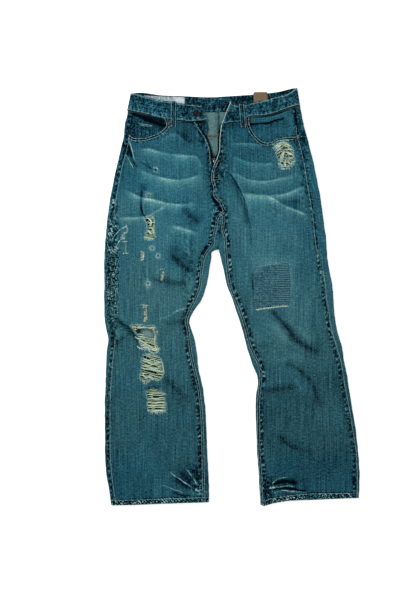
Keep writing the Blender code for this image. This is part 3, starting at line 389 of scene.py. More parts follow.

# Folds, creases and worn lines on the upper face, laid along a path. rise lifts the cloth,
# shade adds to its wash: painted shade in the valleys and painted highlight on the
# ridges, as well as wear; both fade out over half_width and towards the path's ends.
Stroke = namedtuple("Stroke", "path half_width rise shade")
STROKES = table(Stroke, [
    # left leg: the long folds below the darn, each a valley painted dark as shade beside a soft ridge painted
    # pale as light
    ([(92, -28), (108, -47), (128, -68), (145, -86)], 9, -2.2, -0.26),
    ([(122, -62), (145, -86), (160, -107), (182, -120), (202, -133), (225, -150)], 14, -3, -0.32),
    ([(96, -40), (125, -90), (160, -125), (205, -150)], 15, 3.5, 0.05),
    ([(112, -36), (138, -62), (165, -88), (205, -112)], 14, 3, 0.07),
    ([(127, -162), (145, -172), (170, -185), (185, -198)], 9, -2, -0.2),
    ([(165, -182), (185, -197), (200, -215), (210, -238), (218, -262), (222, -283)], 10, -2.4, -0.2),
    ([(130, -176), (165, -195), (188, -214), (198, -240), (206, -270)], 14, 3.2, 0.04),
    ([(70, -236), (108, -230), (145, -225), (172, -217)], 10, -2.2, -0.19),
    ([(76, -222), (110, -214), (150, -210)], 12, 2.2, 0.04),
    ([(58, -122), (82, -120), (108, -112)], 6, -1, -0.14),
    ([(117, -338), (130, -360), (147, -375), (168, -382)], 8, -2, -0.17),
    ([(150, -372), (180, -384), (210, -388)], 10, -1, -0.1),
    ([(108, -350), (124, -376), (145, -392)], 12, 2.4, 0.04),
    ([(88, -52), (112, -84), (140, -112), (168, -134)], 18, 1.5, 0.12),
    ([(160, -72), (188, -98), (206, -120)], 20, 1.5, 0.1),
    ([(92, -152), (120, -158), (152, -150), (182, -158)], 18, 1.2, 0.11),
    ([(150, -205), (172, -228), (180, -250)], 14, 1, 0.09),
    ([(60, -60), (66, -100), (78, -140)], 12, 0.5, 0.05),
    ([(205, -40), (214, -90), (230, -150)], 12, -0.5, -0.05),
    # left thigh: the crease down from the fly
    ([(-18, 312), (-5, 300), (8, 282), (20, 252), (30, 227), (38, 197), (46, 164)], 7, -2.2, -0.24),
    ([(-8, 316), (10, 300), (28, 262), (42, 226), (52, 180)], 12, 2.6, 0.05),
    ([(-4, 286), (12, 250), (24, 215), (34, 175)], 10, 1.8, 0),
    ([(0, 203), (12, 197), (24, 194)], 5, 0.4, 0.12),
    ([(-21, 236), (-18, 212), (-17, 185), (-18, 158)], 5, -1, -0.42),
    ([(118, 240), (148, 236), (182, 236)], 13, -1.6, -0.18),
    ([(95, 205), (110, 160), (118, 120)], 9, 1, -0.05),
    # right leg: folds behind the knee and up the thigh
    ([(-302, -56), (-280, -64), (-262, -76), (-248, -94), (-236, -112), (-228, -124)], 9, -2.8, -0.24),
    ([(-300, -46), (-276, -52), (-252, -66)], 12, 3, 0.04),
    ([(-302, -122), (-284, -112), (-262, -98)], 12, -1.5, -0.14),
    ([(-286, -92), (-268, -98), (-250, -116), (-238, -132)], 10, 2.4, 0.03),
    ([(-218, -226), (-198, -228), (-182, -222)], 7, -1.8, -0.34),
    ([(-182, -204), (-162, -212), (-142, -228), (-118, -248), (-98, -262)], 18, -2.6, -0.13),
    ([(-166, -200), (-140, -208), (-112, -226)], 13, 3.2, 0.03),
    ([(-170, -240), (-140, -256), (-108, -278)], 16, 0, -0.05),
    ([(-152, 112), (-140, 92), (-122, 80), (-104, 72), (-92, 66)], 14, -2.4, -0.26),
    ([(-142, 106), (-120, 98), (-90, 86)], 20, 0, -0.1),
    ([(-158, 130), (-146, 100), (-130, 84)], 12, -1, -0.1),
    ([(-112, 78), (-100, 70), (-90, 64)], 9, -0.6, -0.18), ([(-142, 128), (-136, 108)], 12, 0, -0.12),
    ([(-152, 84), (-130, 62), (-96, 52)], 12, 3, 0.04),
    ([(-208, 46), (-168, 40), (-140, 34), (-100, 28)], 14, -2, -0.28),
    ([(-130, 226), (-106, 205), (-90, 190), (-76, 174)], 16, -2.4, -0.28),
    ([(-112, 228), (-92, 210), (-76, 196)], 10, 2.2, 0.04),
    ([(-231, 279), (-227, 242), (-224, 214), (-214, 196)], 4.5, -1.8, -0.34),
    ([(-238, 284), (-222, 272), (-214, 262)], 8, -0.8, -0.16),
    ([(-172, -68), (-145, -66), (-112, -60)], 13, -1.6, -0.14),
    ([(-197, 26), (-200, 2), (-202, -22)], 6, -0.8, -0.1), ([(-222, 88), (-219, 44)], 6, -0.6, -0.1),
    ([(-130, 414), (-112, 398), (-98, 378)], 12, -0.8, -0.16),
    # pinches under the right pocket's corner
    ([(-263, 402), (-256, 384), (-248, 362), (-236, 340)], 3.2, 2.2, 0.05),
    ([(-273, 370), (-261, 348), (-252, 330), (-244, 318)], 3.2, 1.8, 0.04),
    ([(-262, 392), (-254, 368), (-246, 346)], 6.5, -2, -0.5),
    ([(-272, 392), (-265, 372), (-256, 352)], 6, -1.8, -0.42),
    ([(-250, 350), (-242, 332), (-236, 322)], 6, -1.2, -0.3),
    ([(-236, 342), (-217, 331), (-200, 318)], 4, -0.8, -0.24),
    ([(-240, 352), (-218, 340), (-196, 330)], 5, 1.2, 0.14),
    # pinches at the right hem's inner corner
    ([(-150, -438), (-122, -460), (-105, -472), (-92, -481)], 4, 2.2, 0.06),
    ([(-113, -430), (-100, -445), (-92, -460), (-86, -472)], 4, 2.2, 0.06),
    ([(-181, -470), (-167, -472), (-155, -478), (-140, -483), (-118, -490)], 4, 1.6, 0.04),
    ([(-146, -450), (-122, -468), (-100, -482)], 7, -2.4, -0.24),
    ([(-132, -436), (-112, -452), (-98, -468)], 8, -2.4, -0.24),
    ([(-104, -424), (-92, -440), (-84, -458)], 6, -1.6, -0.22),
    ([(-150, -488), (-125, -494), (-100, -492)], 4.5, -1.4, -0.36),
    ([(-93, -480), (-84, -484), (-76, -480)], 6, 1.6, 0.36),
    # pinches at the left hem's inner corner
    ([(97, -473), (108, -462), (121, -456), (140, -450)], 4, 2.2, 0.12),
    ([(98, -484), (112, -479), (130, -475), (145, -473), (160, -474)], 4, 1.8, 0.1),
    ([(112, -485), (128, -482), (145, -484), (170, -489), (198, -491)], 3.6, 1.8, 0.2),
    ([(98, -474), (112, -468), (128, -463), (146, -462)], 6, -2.4, -0.52),
    ([(122, -462), (145, -464), (168, -468)], 7, -1.6, -0.3),
    ([(100, -482), (122, -479), (145, -478), (162, -481), (184, -484)], 5, -2.6, -0.3),
    ([(76, -478), (86, -476), (98, -478)], 6, -1, -0.3)])

# Sharp creases: lines worn pale, and folded lines painted dark as shade, half_width to either side of a path.
Crease = namedtuple("Crease", "path half_width shade")
CREASES = table(Crease, [
    # under the right pocket's corner
    ([(-265, 403), (-257, 390), (-251, 368), (-246, 352), (-237, 334)], 1, 0.7),
    ([(-273, 370), (-262, 351), (-251, 330), (-246, 318)], 1, 0.56),
    ([(-274, 394), (-264, 370), (-256, 350)], 1.8, -0.5),
    ([(-262, 388), (-255, 368), (-249, 346)], 1.6, -0.44),
    ([(-217, 340), (-207, 328), (-197, 317)], 1.8, -0.35),
    ([(-228, 232), (-223, 208), (-214, 193)], 1.8, -0.56),
    # right hem's inner corner
    ([(-160, -435), (-140, -448), (-115, -465), (-91, -482)], 1.1, 0.6),
    ([(-116, -428), (-102, -445), (-92, -460), (-85, -472)], 1.1, 0.58),
    ([(-180, -470), (-155, -477), (-130, -486), (-114, -492)], 1.1, 0.48),
    ([(-173, -356), (-168, -368), (-163, -382)], 1.3, 0.16),
    ([(-92, -410), (-84, -428), (-80, -440)], 1.2, 0.26),
    ([(-140, -453), (-118, -469), (-100, -481)], 1.6, -0.36),
    # left hem's inner corner
    ([(96, -472), (105, -462), (121, -454), (144, -449)], 1.2, 0.7),
    ([(100, -474), (120, -465), (140, -462), (166, -466)], 2.6, -0.44),
    ([(88, -480), (112, -476), (137, -472), (162, -475)], 1.15, 0.66),
    ([(86, -486), (109, -480), (128, -478), (150, -480), (168, -483), (192, -486)], 1.8, -0.9),
    ([(92, -496), (105, -489), (128, -482.5), (143, -485), (165, -487), (196, -488)], 1.1, 0.62),
    # the long folds: painted shade along them, and a painted highlight by the right knee
    ([(95, -30), (110, -47), (127, -67), (142, -85), (160, -107)], 3, -0.08),
    ([(198, -216), (206, -240), (210, -266), (214, -284)], 2, -0.1),
    ([(117, -340), (130, -360), (147, -375), (167, -381)], 3, -0.11),
    ([(-299, -50), (-280, -62), (-260, -75), (-247, -90), (-236, -108)], 3.2, -0.22),
    ([(-305, -115), (-280, -106), (-254, -92)], 2.4, -0.1),
    ([(-188, -58), (-155, -45), (-130, -32), (-110, -27)], 2.8, 0.26),
    ([(-152, 106), (-136, 92), (-114, 80), (-94, 72)], 4, -0.08),
    ([(128, 229), (148, 220), (166, 214), (184, 205)], 3.6, 0.12),
    ([(-176, -200), (-162, -209), (-148, -224), (-130, -246)], 3.2, -0.12),
    # the left front beside the fly, and the rise
    ([(-20, 315), (-5, 307), (7, 290), (20, 267), (30, 242), (36, 222)], 2.2, -0.4),
    ([(32, 238), (40, 205), (47, 162), (45, 130)], 2.4, -0.14),
    ([(-50, 252), (-38, 231), (-25, 212)], 2.8, -0.9), ([(-21, 212), (-20, 185), (-18, 152)], 1.9, -0.7),
    ([(-25, 367), (-27, 342), (-36, 317), (-42, 290)], 2, -0.62),
    ([(-52, 297), (-40, 296), (-29, 291)], 2.4, -0.7),
    # painted shadow in the open pockets, under the waistband
    ([(43, 431), (58, 433), (75, 434), (100, 439), (134, 450)], 1.8, -0.66),
    ([(-257, 461), (-240, 455), (-222, 449), (-205, 444)], 2.4, -0.8),
    ([(-228, 451), (-208, 443), (-188, 435), (-160, 424)], 4.4, -0.9),
    ([(-256, 434), (-240, 432), (-222, 428)], 1.6, -0.3)])

# Whiskers: bands worn pale along the hips' creases, sharp above the path and soft below it.
Whisker = namedtuple("Whisker", "path above below rise shade")
WHISKERS = table(Whisker, [
    ([(-232, 366), (-210, 371), (-180, 362), (-150, 355), (-118, 352), (-88, 350)], 3.5, 17, 1.4, 0.34),
    ([(-236, 370), (-212, 368), (-178, 360)], 4, 15, 0.8, 0.16),
    ([(-108, 352), (-92, 350), (-82, 340), (-74, 320)], 3.5, 10, 0.8, 0.26),
    ([(-172, 392), (-158, 405), (-138, 405), (-124, 392), (-116, 378)], 4, 14, 0.8, 0.15),
    ([(-236, 322), (-205, 306), (-176, 298), (-120, 293), (-88, 300), (-66, 306)], 3.5, 22, 1.4, 0.32),
    ([(-278, 271), (-258, 262), (-238, 252), (-200, 243), (-160, 232), (-120, 229),
     (-78, 242)], 4, 16, 1.3, 0.3), ([(-292, 194), (-268, 197), (-234, 198), (-208, 201)], 4, 9, 1, 0.32),
    ([(-226, 197), (-204, 207), (-184, 217), (-162, 230)], 3, 6, 0.8, 0.26),
    ([(-160, 180), (-132, 174), (-100, 164), (-78, 158)], 4, 11, 0.9, 0.26),
    ([(-8, 385), (30, 383), (84, 378)], 3, 8, 0.6, 0.25),
    ([(-4, 350), (12, 347), (37, 337), (110, 334)], 3, 12, 0.9, 0.3),
    ([(-14, 312), (14, 306), (42, 294), (90, 289), (120, 296), (146, 302), (166, 314)], 3, 11, 0.9, 0.28),
    ([(16, 262), (57, 256), (105, 253), (136, 256), (160, 268), (186, 282)], 4, 16, 1.4, 0.36),
    ([(82, 254), (104, 244), (124, 231), (146, 221), (168, 214), (198, 200)], 4, 12, 1.2, 0.38),
    ([(20, 258), (60, 250), (110, 246)], 8, 30, 0, 0.08)])

# Crumpled and puckered places: lumps of one size, paler on their crests and painted dark in their hollows as
# shade.
Crumple = namedtuple("Crumple", "x y radius_x radius_y size rise shade")
CRUMPLES = table(Crumple, [
    (-297, 180, 15, 85, 4.4, 0.9, 0.36), (-300, 40, 12, 80, 5.5, 0.8, 0.3),
    (-290, 330, 12, 60, 5.5, 0.8, 0.26), (-295, -90, 14, 50, 6, 0.8, 0.22),
    (-30, 200, 20, 42, 5.5, 1, 0.42), (-44, 300, 15, 50, 5, 0.9, 0.36), (-30, 350, 16, 70, 5, 0.8, 0.28),
    (-86, -460, 22, 40, 6, 1, 0.34), (90, -478, 26, 26, 6, 1, 0.4), (180, 330, 14, 110, 6, 0.8, 0.2),
    (158, 430, 12, 40, 5, 0.8, 0.3), (-108, 80, 16, 120, 7, 0.8, 0.16), (-160, 432, 22, 10, 5, 0.6, 0.3),
    (-70, 405, 20, 36, 6, 0.6, 0.2)])

# Broad changes of wash: a worn or darker place by centre, radii and amount. The darker place at (0, 430),
# beside the waistband's left end, is painted shadow.
Place = namedtuple("Place", "x y radius_x radius_y shade")
PLACES = table(Place, [
    (-45, 345, 26, 50, -0.1), (0, 430, 24, 12, -0.14), (-42, 275, 26, 45, -0.08), (-32, 200, 24, 40, -0.02),
    (20, 400, 60, 50, -0.06), (40, 345, 90, 40, -0.04), (-150, 290, 90, 130, 0.03),
    (-170, 130, 70, 120, 0.05), (70, 240, 80, 120, 0.05), (90, 120, 60, 70, 0.08), (150, 30, 14, 60, 0.09),
    (100, 85, 40, 14, 0.08), (110, -60, 70, 50, 0.05), (-200, -10, 60, 70, 0.05),
    (-110, 430, 60, 40, -0.08), (-100, -455, 48, 36, -0.12), (130, -470, 50, 18, -0.1),
    (-80, -488, 14, 10, 0.24), (200, -420, 80, 70, -0.04), (-282, -400, 50, 90, -0.03)])

# Places flecked dark and pale all over.
FLECKED = table(Place, [
    (-300, 65, 19, 170, 0.55), (-300, 330, 16, 60, 0.3), (-232, 425, 36, 26, 0.26),
    (-42, 345, 20, 80, 0.26), (-20, 350, 14, 80, 0.24), (-32, 205, 22, 50, 0.36), (90, -480, 24, 22, 0.4),
    (-84, -470, 20, 30, 0.36), (165, 420, 16, 60, 0.3), (190, 330, 12, 90, 0.26)])


# ---------------------------------------------------------------- curves, noise and distances

def lerp(a, b, t):
    return a + (b - a) * t


def ease(t):
    t = np.clip(t, 0.0, 1.0)
    return t * t * (3.0 - 2.0 * t)


def bell(x, width, power=2):
    """1 at zero, falling to nothing a few widths away."""
    return np.exp(-(x / width) ** power)


def arch(away):
    """1 at zero, falling to nothing at 1."""
    return np.cos(np.clip(away, 0.0, 1.0) * math.pi / 2.0) ** 2


def fade(t, rate):
    """1 along a path, falling to nothing at both ends."""
    return ease(rate * t) * ease(rate * (1.0 - t))


def rows_of(*lanes):
    """Lanes side by side, one row a point."""
    return np.stack(np.broadcast_arrays(*lanes), axis=-1).reshape(-1, len(lanes))


def ringed(outline):
    """A closed outline's points with the first again at the end."""
    return np.concatenate([outline, outline[:1]])


def between(points, x):
    """Height of a polyline of (x, y) points at x."""
    points = np.array(sorted(points), float)
    return np.interp(x, points[:, 0], points[:, 1])


def station_value(leg, column, y):
    rows = [(row.y, getattr(row, column)) for row in leg if getattr(row, column) is not None]
    return float(between(rows, y))


def run_lengths(points):
    steps = np.linalg.norm(np.diff(points, axis=0), axis=-1)
    return np.concatenate([[0.0], np.cumsum(steps)])


def finer(knots, counts):
    """Knots with evenly spaced ones added, so many steps in each span."""
    parts = [np.linspace(low, high, count + 1)[1:] for low, high, count in zip(knots, knots[1:], counts)]
    return np.concatenate([knots[:1]] + parts)


def steps_for(spans, step):
    return np.maximum(np.ceil(np.asarray(spans) / step).astype(int), 1)


def hermite(knots, values, at):
    """A smooth curve through values at rising knots, read at the given places."""
    knots = np.asarray(knots, float)
    values = np.asarray(values, float)
    at = np.asarray(at, float)
    spans = np.diff(knots)
    shape = (-1,) + (1,) * (values.ndim - 1)
    slopes = np.diff(values, axis=0) / spans.reshape(shape)
    tangents = np.empty_like(values)
    tangents[0] = slopes[0]
    tangents[-1] = slopes[-1]
    before = spans[:-1].reshape(shape)
    after = spans[1:].reshape(shape)
    tangents[1:-1] = (slopes[:-1] * after + slopes[1:] * before) / (before + after)
    index = np.clip(np.searchsorted(knots, at, side="right") - 1, 0, len(spans) - 1)
    span = spans[index].reshape(shape)
    t = ((at - knots[index]) / spans[index]).reshape(shape)
    start, end = values[index], values[index + 1]
    go, come = tangents[index] * span, tangents[index + 1] * span
    return (start * (2 * t**3 - 3 * t**2 + 1) + go * (t**3 - 2 * t**2 + t)
            + end * (3 * t**2 - 2 * t**3) + come * (t**3 - t**2))


def smooth_path(points, step=4.0):
    """Points along a smooth curve through the given ones, about step apart."""
    points = np.asarray(points, float)
    lengths = run_lengths(points)
    count = max(int(round(lengths[-1] / step)), 1)
    return hermite(lengths, points, np.linspace(0.0, lengths[-1], count + 1))


def unit(vectors):
    """Each row at length 1."""
    return vectors / np.maximum(np.linalg.norm(vectors, axis=1, keepdims=True), 1e-9)


def inset(points, distance):
    """A polyline moved sideways by distance, to the left of its direction, with mitres."""
    points = np.asarray(points, float)
    along = unit(np.diff(points, axis=0))
    left = np.stack([-along[:, 1], along[:, 0]], axis=1)
    mitre = np.concatenate([left[:1] * 2.0, left[:-1] + left[1:], left[-1:] * 2.0])
    return points + mitre * (2.0 * distance / np.maximum((mitre**2).sum(1, keepdims=True), 1.0))


LATTICE = 64


def noise(x, y, size, seed):
    """Smooth noise from -1 to 1 with lumps about size millimetres across."""
    lattice = np.random.default_rng(seed).random((LATTICE, LATTICE)) * 2.0 - 1.0
    gx = np.asarray(x, float) / size
    gy = np.asarray(y, float) / size
    column = np.floor(gx).astype(int)
    row = np.floor(gy).astype(int)
    tx, ty = ease(gx - column), ease(gy - row)
    left, right = column % LATTICE, (column + 1) % LATTICE
    low = lerp(lattice[left, row % LATTICE], lattice[right, row % LATTICE], tx)
    high = lerp(lattice[left, (row + 1) % LATTICE], lattice[right, (row + 1) % LATTICE], tx)
    return lerp(low, high, ty)


def noise_along(along, size, seed, row=0.0):
    return noise(along, 0.0 * along + row, size, seed)


def near_path(x, y, path):
    """Distance, place along and signed distance (left positive) of the nearest spot on a path."""
    best = np.full(x.shape, 1e9)
    along = np.zeros(x.shape)
    side = np.ones(x.shape)
    lengths = run_lengths(path)
    for (x0, y0), (x1, y1), start, end in zip(path, path[1:], lengths, lengths[1:]):
        dx, dy, run = x1 - x0, y1 - y0, max(end - start, 1e-9)
        t = np.clip(((x - x0) * dx + (y - y0) * dy) / (run * run), 0.0, 1.0)
        off_x, off_y = x - x0 - dx * t, y - y0 - dy * t
        away = np.hypot(off_x, off_y)
        closer = away < best
        best = np.where(closer, away, best)
        along = np.where(closer, start + t * run, along)
        side = np.where(closer, np.where(dx * off_y - dy * off_x < 0.0, -1.0, 1.0), side)
    return best, along, best * side


def within(x, y, path, margin):
    """Which points lie in a path's box, widened by margin."""
    low = np.min(path, axis=0) - margin
    high = np.max(path, axis=0) + margin
    return (x > low[0]) & (x < high[0]) & (y > low[1]) & (y < high[1])


def far_from(place, x, y):
    """Squared distance from a place's centre, in its radii."""
    return ((x - place.x) / place.radius_x) ** 2 + ((y - place.y) / place.radius_y) ** 2


def in_outline(x, y, outline):
    """Which points lie inside a closed outline."""
    inside = np.zeros(x.shape, bool)
    for (x0, y0), (x1, y1) in zip(outline, np.roll(outline, -1, axis=0)):
        if y0 != y1:
            crosses = (y0 > y) != (y1 > y)
            inside ^= crosses & (x < (x1 - x0) * (y - y0) / (y1 - y0) + x0)
    return inside


def closed(points, step, rough, seed):
    """A closed smooth outline through points, with an uneven edge."""
    points = np.asarray(points, float)
    wrapped = np.concatenate([points[-2:], points, points[:2]])
    lengths = run_lengths(wrapped)
    start, end = lengths[2], lengths[-2]
    ring = hermite(lengths, wrapped, np.linspace(start, end, int((end - start) / step), endpoint=False))
    shift = [noise(ring[:, 0], ring[:, 1], size, seed + n) for n, size in enumerate((3.0, 3.0, 9.0, 9.0))]
    return ring + rough * np.stack([shift[0] + shift[2], shift[1] + shift[3]], axis=1)


# ---------------------------------------------------------------- heights and wash of the upper face

def lift(y):
    """Height of the underside: the legs lie on the ground, the hips on their pockets."""
    return HIP_LIFT * ease((np.asarray(y, float) - LIFT_START) / (LIFT_END - LIFT_START))


def inner_ends(rows):
    return [(row.in_x, row.in_y) for row in rows]


def leg_line(leg, column, hips=()):
    """A seam or edge down a leg as a smooth path, with the rows above the crotch first."""
    points = inner_ends(hips)
    points += [(getattr(row, column), row.y) for row in leg if getattr(row, column) is not None]
    return smooth_path(points, 5.0)


def low_edge(band):
    return [(row.low_x, row.low_y) for row in band]


def top_edge(band):
    return [(row.top_x, row.top_y) for row in band]


WAIST_RIGHT = low_edge(BAND_RIGHT + [BAND_RIGHT_SIDE])
WAIST_LEFT = low_edge(BAND_LEFT + [BAND_LEFT_SIDE])
MOUTH_RIGHT = smooth_path(RIGHT_MOUTH[1:-1], 3.0)
MOUTH_LEFT = smooth_path(LEFT_MOUTH[1:-1], 3.0)

RISE = smooth_path(inner_ends(LEFT_FRONT[6:14]))
FLY_RIGHT = smooth_path(inner_ends(RIGHT_FRONT[:8]))[::-1]
FLY_LEFT = smooth_path(inner_ends(LEFT_FRONT[:8]))
HEM_RIGHT = smooth_path(RIGHT_HEM, 6.0)
HEM_LEFT = smooth_path(LEFT_HEM, 6.0)
OUTSEAM_RIGHT = leg_line(RIGHT_LEG, "outseam")
OUTSEAM_LEFT = leg_line(LEFT_LEG, "outseam")[::-1]
INSEAM_RIGHT = leg_line(RIGHT_LEG, "inseam", RIGHT_FRONT[13:])[::-1]
INSEAM_LEFT = leg_line(LEFT_LEG, "inseam", LEFT_FRONT[13:])

# Seams and turned edges of the upper face. Puckers, spacing apart, fill a band that lies at
# to the left of the path and reach wide; shade is their contrast, worn pale on the crests and
# painted dark in the hollows as shade. The bare line lies line_at to the left, line wide and
# wear strong. groove is painted shade in the seam itself.
Edge = namedtuple("Edge", "path at reach rise spacing lean shade line_at line wear groove seed fleck")
EDGES = table(Edge, [
    (OUTSEAM_RIGHT, -2, 3.8, 1.1, 14, 0.3, 0.62, 3.5, 1.4, 0.2, 0.06, 1, 0.3),
    (OUTSEAM_LEFT, 2, 4.6, 1.2, 12, 0.3, 0.7, -5, 1.5, 0.26, 0.06, 2, 0.26),
    (INSEAM_RIGHT, 4.5, 5, 1.4, 12.5, 0.3, 0.78, -3, 1.6, 0.2, 0.18, 3, 0.26),
    (INSEAM_LEFT, 3.5, 5, 1.4, 12, 0.3, 0.78, -3, 1.6, 0.2, 0.18, 4, 0.28),
    (RISE, 4.5, 6, 1.3, 11, 0.4, 0.72, 0.8, 1.6, 0.34, 0.34, 5, 0.34),
    (FLY_RIGHT, 5, 5, 0.9, 12, 0.4, 0.4, 1, 1.8, 0.3, 0.2, 6, 0.3),
    (FLY_LEFT, 7, 5, 1, 12, 0.4, 0.5, 0.9, 1.6, 0.8, 0.1, 7, 0.3),
    (MOUTH_RIGHT[::-1], 6, 5.5, 0.9, 7, 0.2, 0.56, 1.5, 1.5, 0.36, 0.26, 8, 0.3),
    (MOUTH_LEFT, 6, 5.5, 0.9, 8, 0.2, 0.54, 1.5, 1.5, 0.36, 0.26, 9, 0.3),
    (HEM_RIGHT, 7, 8, 1.4, 8, 0.9, 1.05, 1.6, 2, 0.38, 0, 10, 0.6),
    (HEM_LEFT, 7, 8, 1.4, 8, 0.9, 1.1, 1.6, 2.2, 0.5, 0, 11, 0.72)])


# Painted shade: the dark line in the groove between two rows of stitches or beside one, and the shadow beside
# the waistband's left end and under its lower edge.
CREASES += table(Crease, [
    (inset(MOUTH_RIGHT[::-1], 4.9), 1.3, -0.46), (inset(MOUTH_LEFT, 4.9), 1.3, -0.4),
    (inset(HEM_RIGHT, 14.6), 1.3, -0.34), (inset(HEM_LEFT, 14.6), 1.3, -0.34),
    (inset(HEM_RIGHT, 1.4), 1.4, -0.34), (inset(HEM_LEFT, 1.4), 1.4, -0.34),
    (inset(INSEAM_RIGHT, -3.5), 1.2, -0.26), (inset(INSEAM_LEFT, -3.5), 1.2, -0.26),
    ([(-7, 490), (-14.5, 471), (-21.5, 453), (-29, 436)], 1.8, -0.9),
    ([(157, 474), (160, 450), (163, 425), (165, 408)], 1.7, -0.7),
    ([(18, 434), (44, 447.5), (76, 450), (104, 455), (132, 465), (164, 474)], 1.7, -0.5),
    ([(-62, 439), (-80, 436), (-100, 435), (-130, 437.5)], 1.6, -0.5)])


def wavering(x, y, sway, size, seed):
    """Points moved a little by noise, so that paths laid on them waver."""
    return x + sway * noise(x, y, size, seed), y + sway * noise(x, y, size, seed + 1)


def ripple(along, spacing, seed):
    """An uneven wave from -1 to 1 along a seam."""
    phase = along / spacing + 0.55 * noise_along(along, 2.4 * spacing, seed)
    swell = 0.62 + 0.38 * noise_along(along, 1.6 * spacing, seed + 50, 7.0)
    return np.sin(math.tau * phase) * swell


def add_strokes(x, y, height, wash):
    wander_x, wander_y = wavering(x, y, 3.5, 38.0, 101)
    for number, stroke in enumerate(STROKES):
        path = smooth_path(stroke.path, 6.0)
        near = within(wander_x, wander_y, path, stroke.half_width * 2.4)
        if not near.any():
            continue
        px, py = wander_x[near], wander_y[near]
        away, along, _ = near_path(px, py, path)
        reach = stroke.half_width * (1.0 + 0.3 * noise_along(along, 26.0, 200 + number))
        t = along / run_lengths(path)[-1]
        taper = fade(t, 4.0)
        core = arch(away / (0.75 * reach))
        soft = bell(away, 1.3 * reach)
        share = 0.45 if stroke.half_width > 6.5 else 0.1
        height[near] += stroke.rise * (0.7 * core + 0.3 * soft) * taper
        core = core * (1.0 + 0.10 * noise(px, py, 7.0, 260 + number))
        wash[near] += stroke.shade * ((1.0 - share) * core + share * soft) * taper


def add_whiskers(x, y, height, wash):
    wander_x, wander_y = wavering(x, y, 2.5, 45.0, 103)
    for number, whisker in enumerate(WHISKERS):
        path = smooth_path(whisker.path, 6.0)
        near = within(wander_x, wander_y, path, whisker.below * 1.6)
        _, along, signed = near_path(wander_x[near], wander_y[near], path)
        t = along / run_lengths(path)[-1]
        taper = fade(t, 5.0) * (0.85 + 0.3 * noise_along(along, 40.0, 300 + number))
        upper = arch(signed / whisker.above)
        lower = 0.65 * bell(signed, whisker.below) + 0.35 * bell(signed, 0.3 * whisker.below)
        profile = np.where(signed > 0.0, upper, lower) * taper
        dip = bell(signed - 1.7 * whisker.above, whisker.above) * taper
        height[near] += whisker.rise * profile
        wash[near] += whisker.shade * profile - 0.06 * dip


def add_edges(x, y, height, wash):
    for edge in EDGES:
        near = within(x, y, edge.path, 22.0)
        if not near.any():
            continue
        _, along, signed = near_path(x[near], y[near], edge.path)
        slant = along + edge.lean * signed
        wave = 0.75 * ripple(slant, edge.spacing, edge.seed)
        wave = wave + 0.75 * noise(slant, 1.5 * signed, 0.42 * edge.spacing, edge.seed + 30)
        wave = wave + 0.40 * noise(along, signed, 3.2, edge.seed + 40)
        zone = 1.0 - ease((np.abs(signed - edge.at) / edge.reach - 0.6) / 0.5)
        height[near] += edge.rise * wave * zone
        height[near] += 0.8 * bell(signed - 2.0, 2.4) - 0.9 * bell(signed + 0.8, 1.2)
        patchy = 0.8 + 0.55 * noise_along(along, 34.0, edge.seed + 80)
        dip = np.clip(1.7 * wave - 0.25, -1.0, 0.50)
        wash[near] += edge.shade * dip * zone * patchy
        wash[near] -= 0.085 * bell(signed, 13.0)
        dashes = 0.75 + 0.5 * noise_along(along, 3.0, edge.seed + 90)
        wash[near] += edge.wear * bell(signed - edge.line_at, edge.line) * patchy * dashes
        wash[near] -= edge.groove * bell(signed + 1.6, 1.8)


def add_crumples(x, y, height, wash):
    for number, crumple in enumerate(CRUMPLES):
        away = far_from(crumple, x, y)
        near = away < 3.0
        if not near.any():
            continue
        px, py = x[near], y[near]
        lumps = noise(px + 0.4 * py, 0.8 * py, crumple.size, 400 + number)
        lumps = lumps + 0.6 * noise(px - 0.5 * py, py, 0.6 * crumple.size, 430 + number)
        zone = bell(away[near], 1.0)
        height[near] += crumple.rise * lumps * zone
        wash[near] += crumple.shade * np.clip(1.3 * lumps - 0.15, -1.0, 0.7) * zone


def base_wash_and_shade(x, y):
    """The plain denim's worn tone before creases and seams, with the broad places, one of them a painted
    shadow beside the waistband's end.
    """
    by_height = [(-520, 0.42), (-430, 0.41), (-250, 0.43), (-100, 0.475), (50, 0.505), (200, 0.505),
                 (330, 0.49), (420, 0.44), (470, 0.38)]
    wash = between(by_height, y)
    wash = wash - 0.03 * ease(x / 60.0) * ease((-170.0 - y) / 60.0)
    for place in PLACES:
        wash = wash + place.shade * np.exp(-far_from(place, x, y))
    wash = wash + 0.030 * noise(x, y, 60.0, 111) + 0.022 * noise(x, y, 17.0, 112)
    return wash


def soil_and_shade_at(x, y, wash):
    """How much the cloth greens: grime, most round the knees, and the tint of painted shade down in the
    folds.
    """
    by_height = [(-520, 0.18), (-430, 0.28), (-250, 0.42), (-90, 0.58), (20, 0.5), (120, 0.3), (250, 0.22),
                 (450, 0.14)]
    cloudy = between(by_height, y) + 0.14 * noise(x, y, 70.0, 151) + 0.08 * noise(x, y, 24.0, 152)
    # The dark painted shade in the legs' folds is tinted green here too.
    fold_shade = np.clip(0.44 - wash, 0.0, 0.3) * 1.6 * ease((140.0 - y) / 80.0) * ease((y + 420.0) / 60.0)
    return np.clip(cloudy + fold_shade, 0.0, 0.9)


def creases_at(x, y):
    """Distance to the nearest sharp crease in half widths, signed by side, and its shade there."""
    offset, shade = np.full(len(x), 9.0), np.zeros(len(x))
    wander_x, wander_y = wavering(x, y, 1.4, 12.0, 161)
    for number, crease in enumerate(CREASES):
        path = smooth_path(crease.path, 3.0)
        near = np.flatnonzero(within(x, y, path, 1.3 * crease.half_width + 6.0))
        if not len(near):
            continue
        away, along, signed = near_path(wander_x[near], wander_y[near], path)
        t = along / run_lengths(path)[-1]
        taper = fade(t, 6.0) * (0.85 + 0.4 * noise_along(along, 8.0, 500 + number))
        nearer = away / crease.half_width < np.abs(offset[near])
        offset[near[nearer]] = signed[nearer] / crease.half_width
        reach = ease((1.3 * crease.half_width + 4.5 - away) / 1.5)
        shade[near[nearer]] = (crease.shade * taper * reach)[nearer]
    return offset, shade


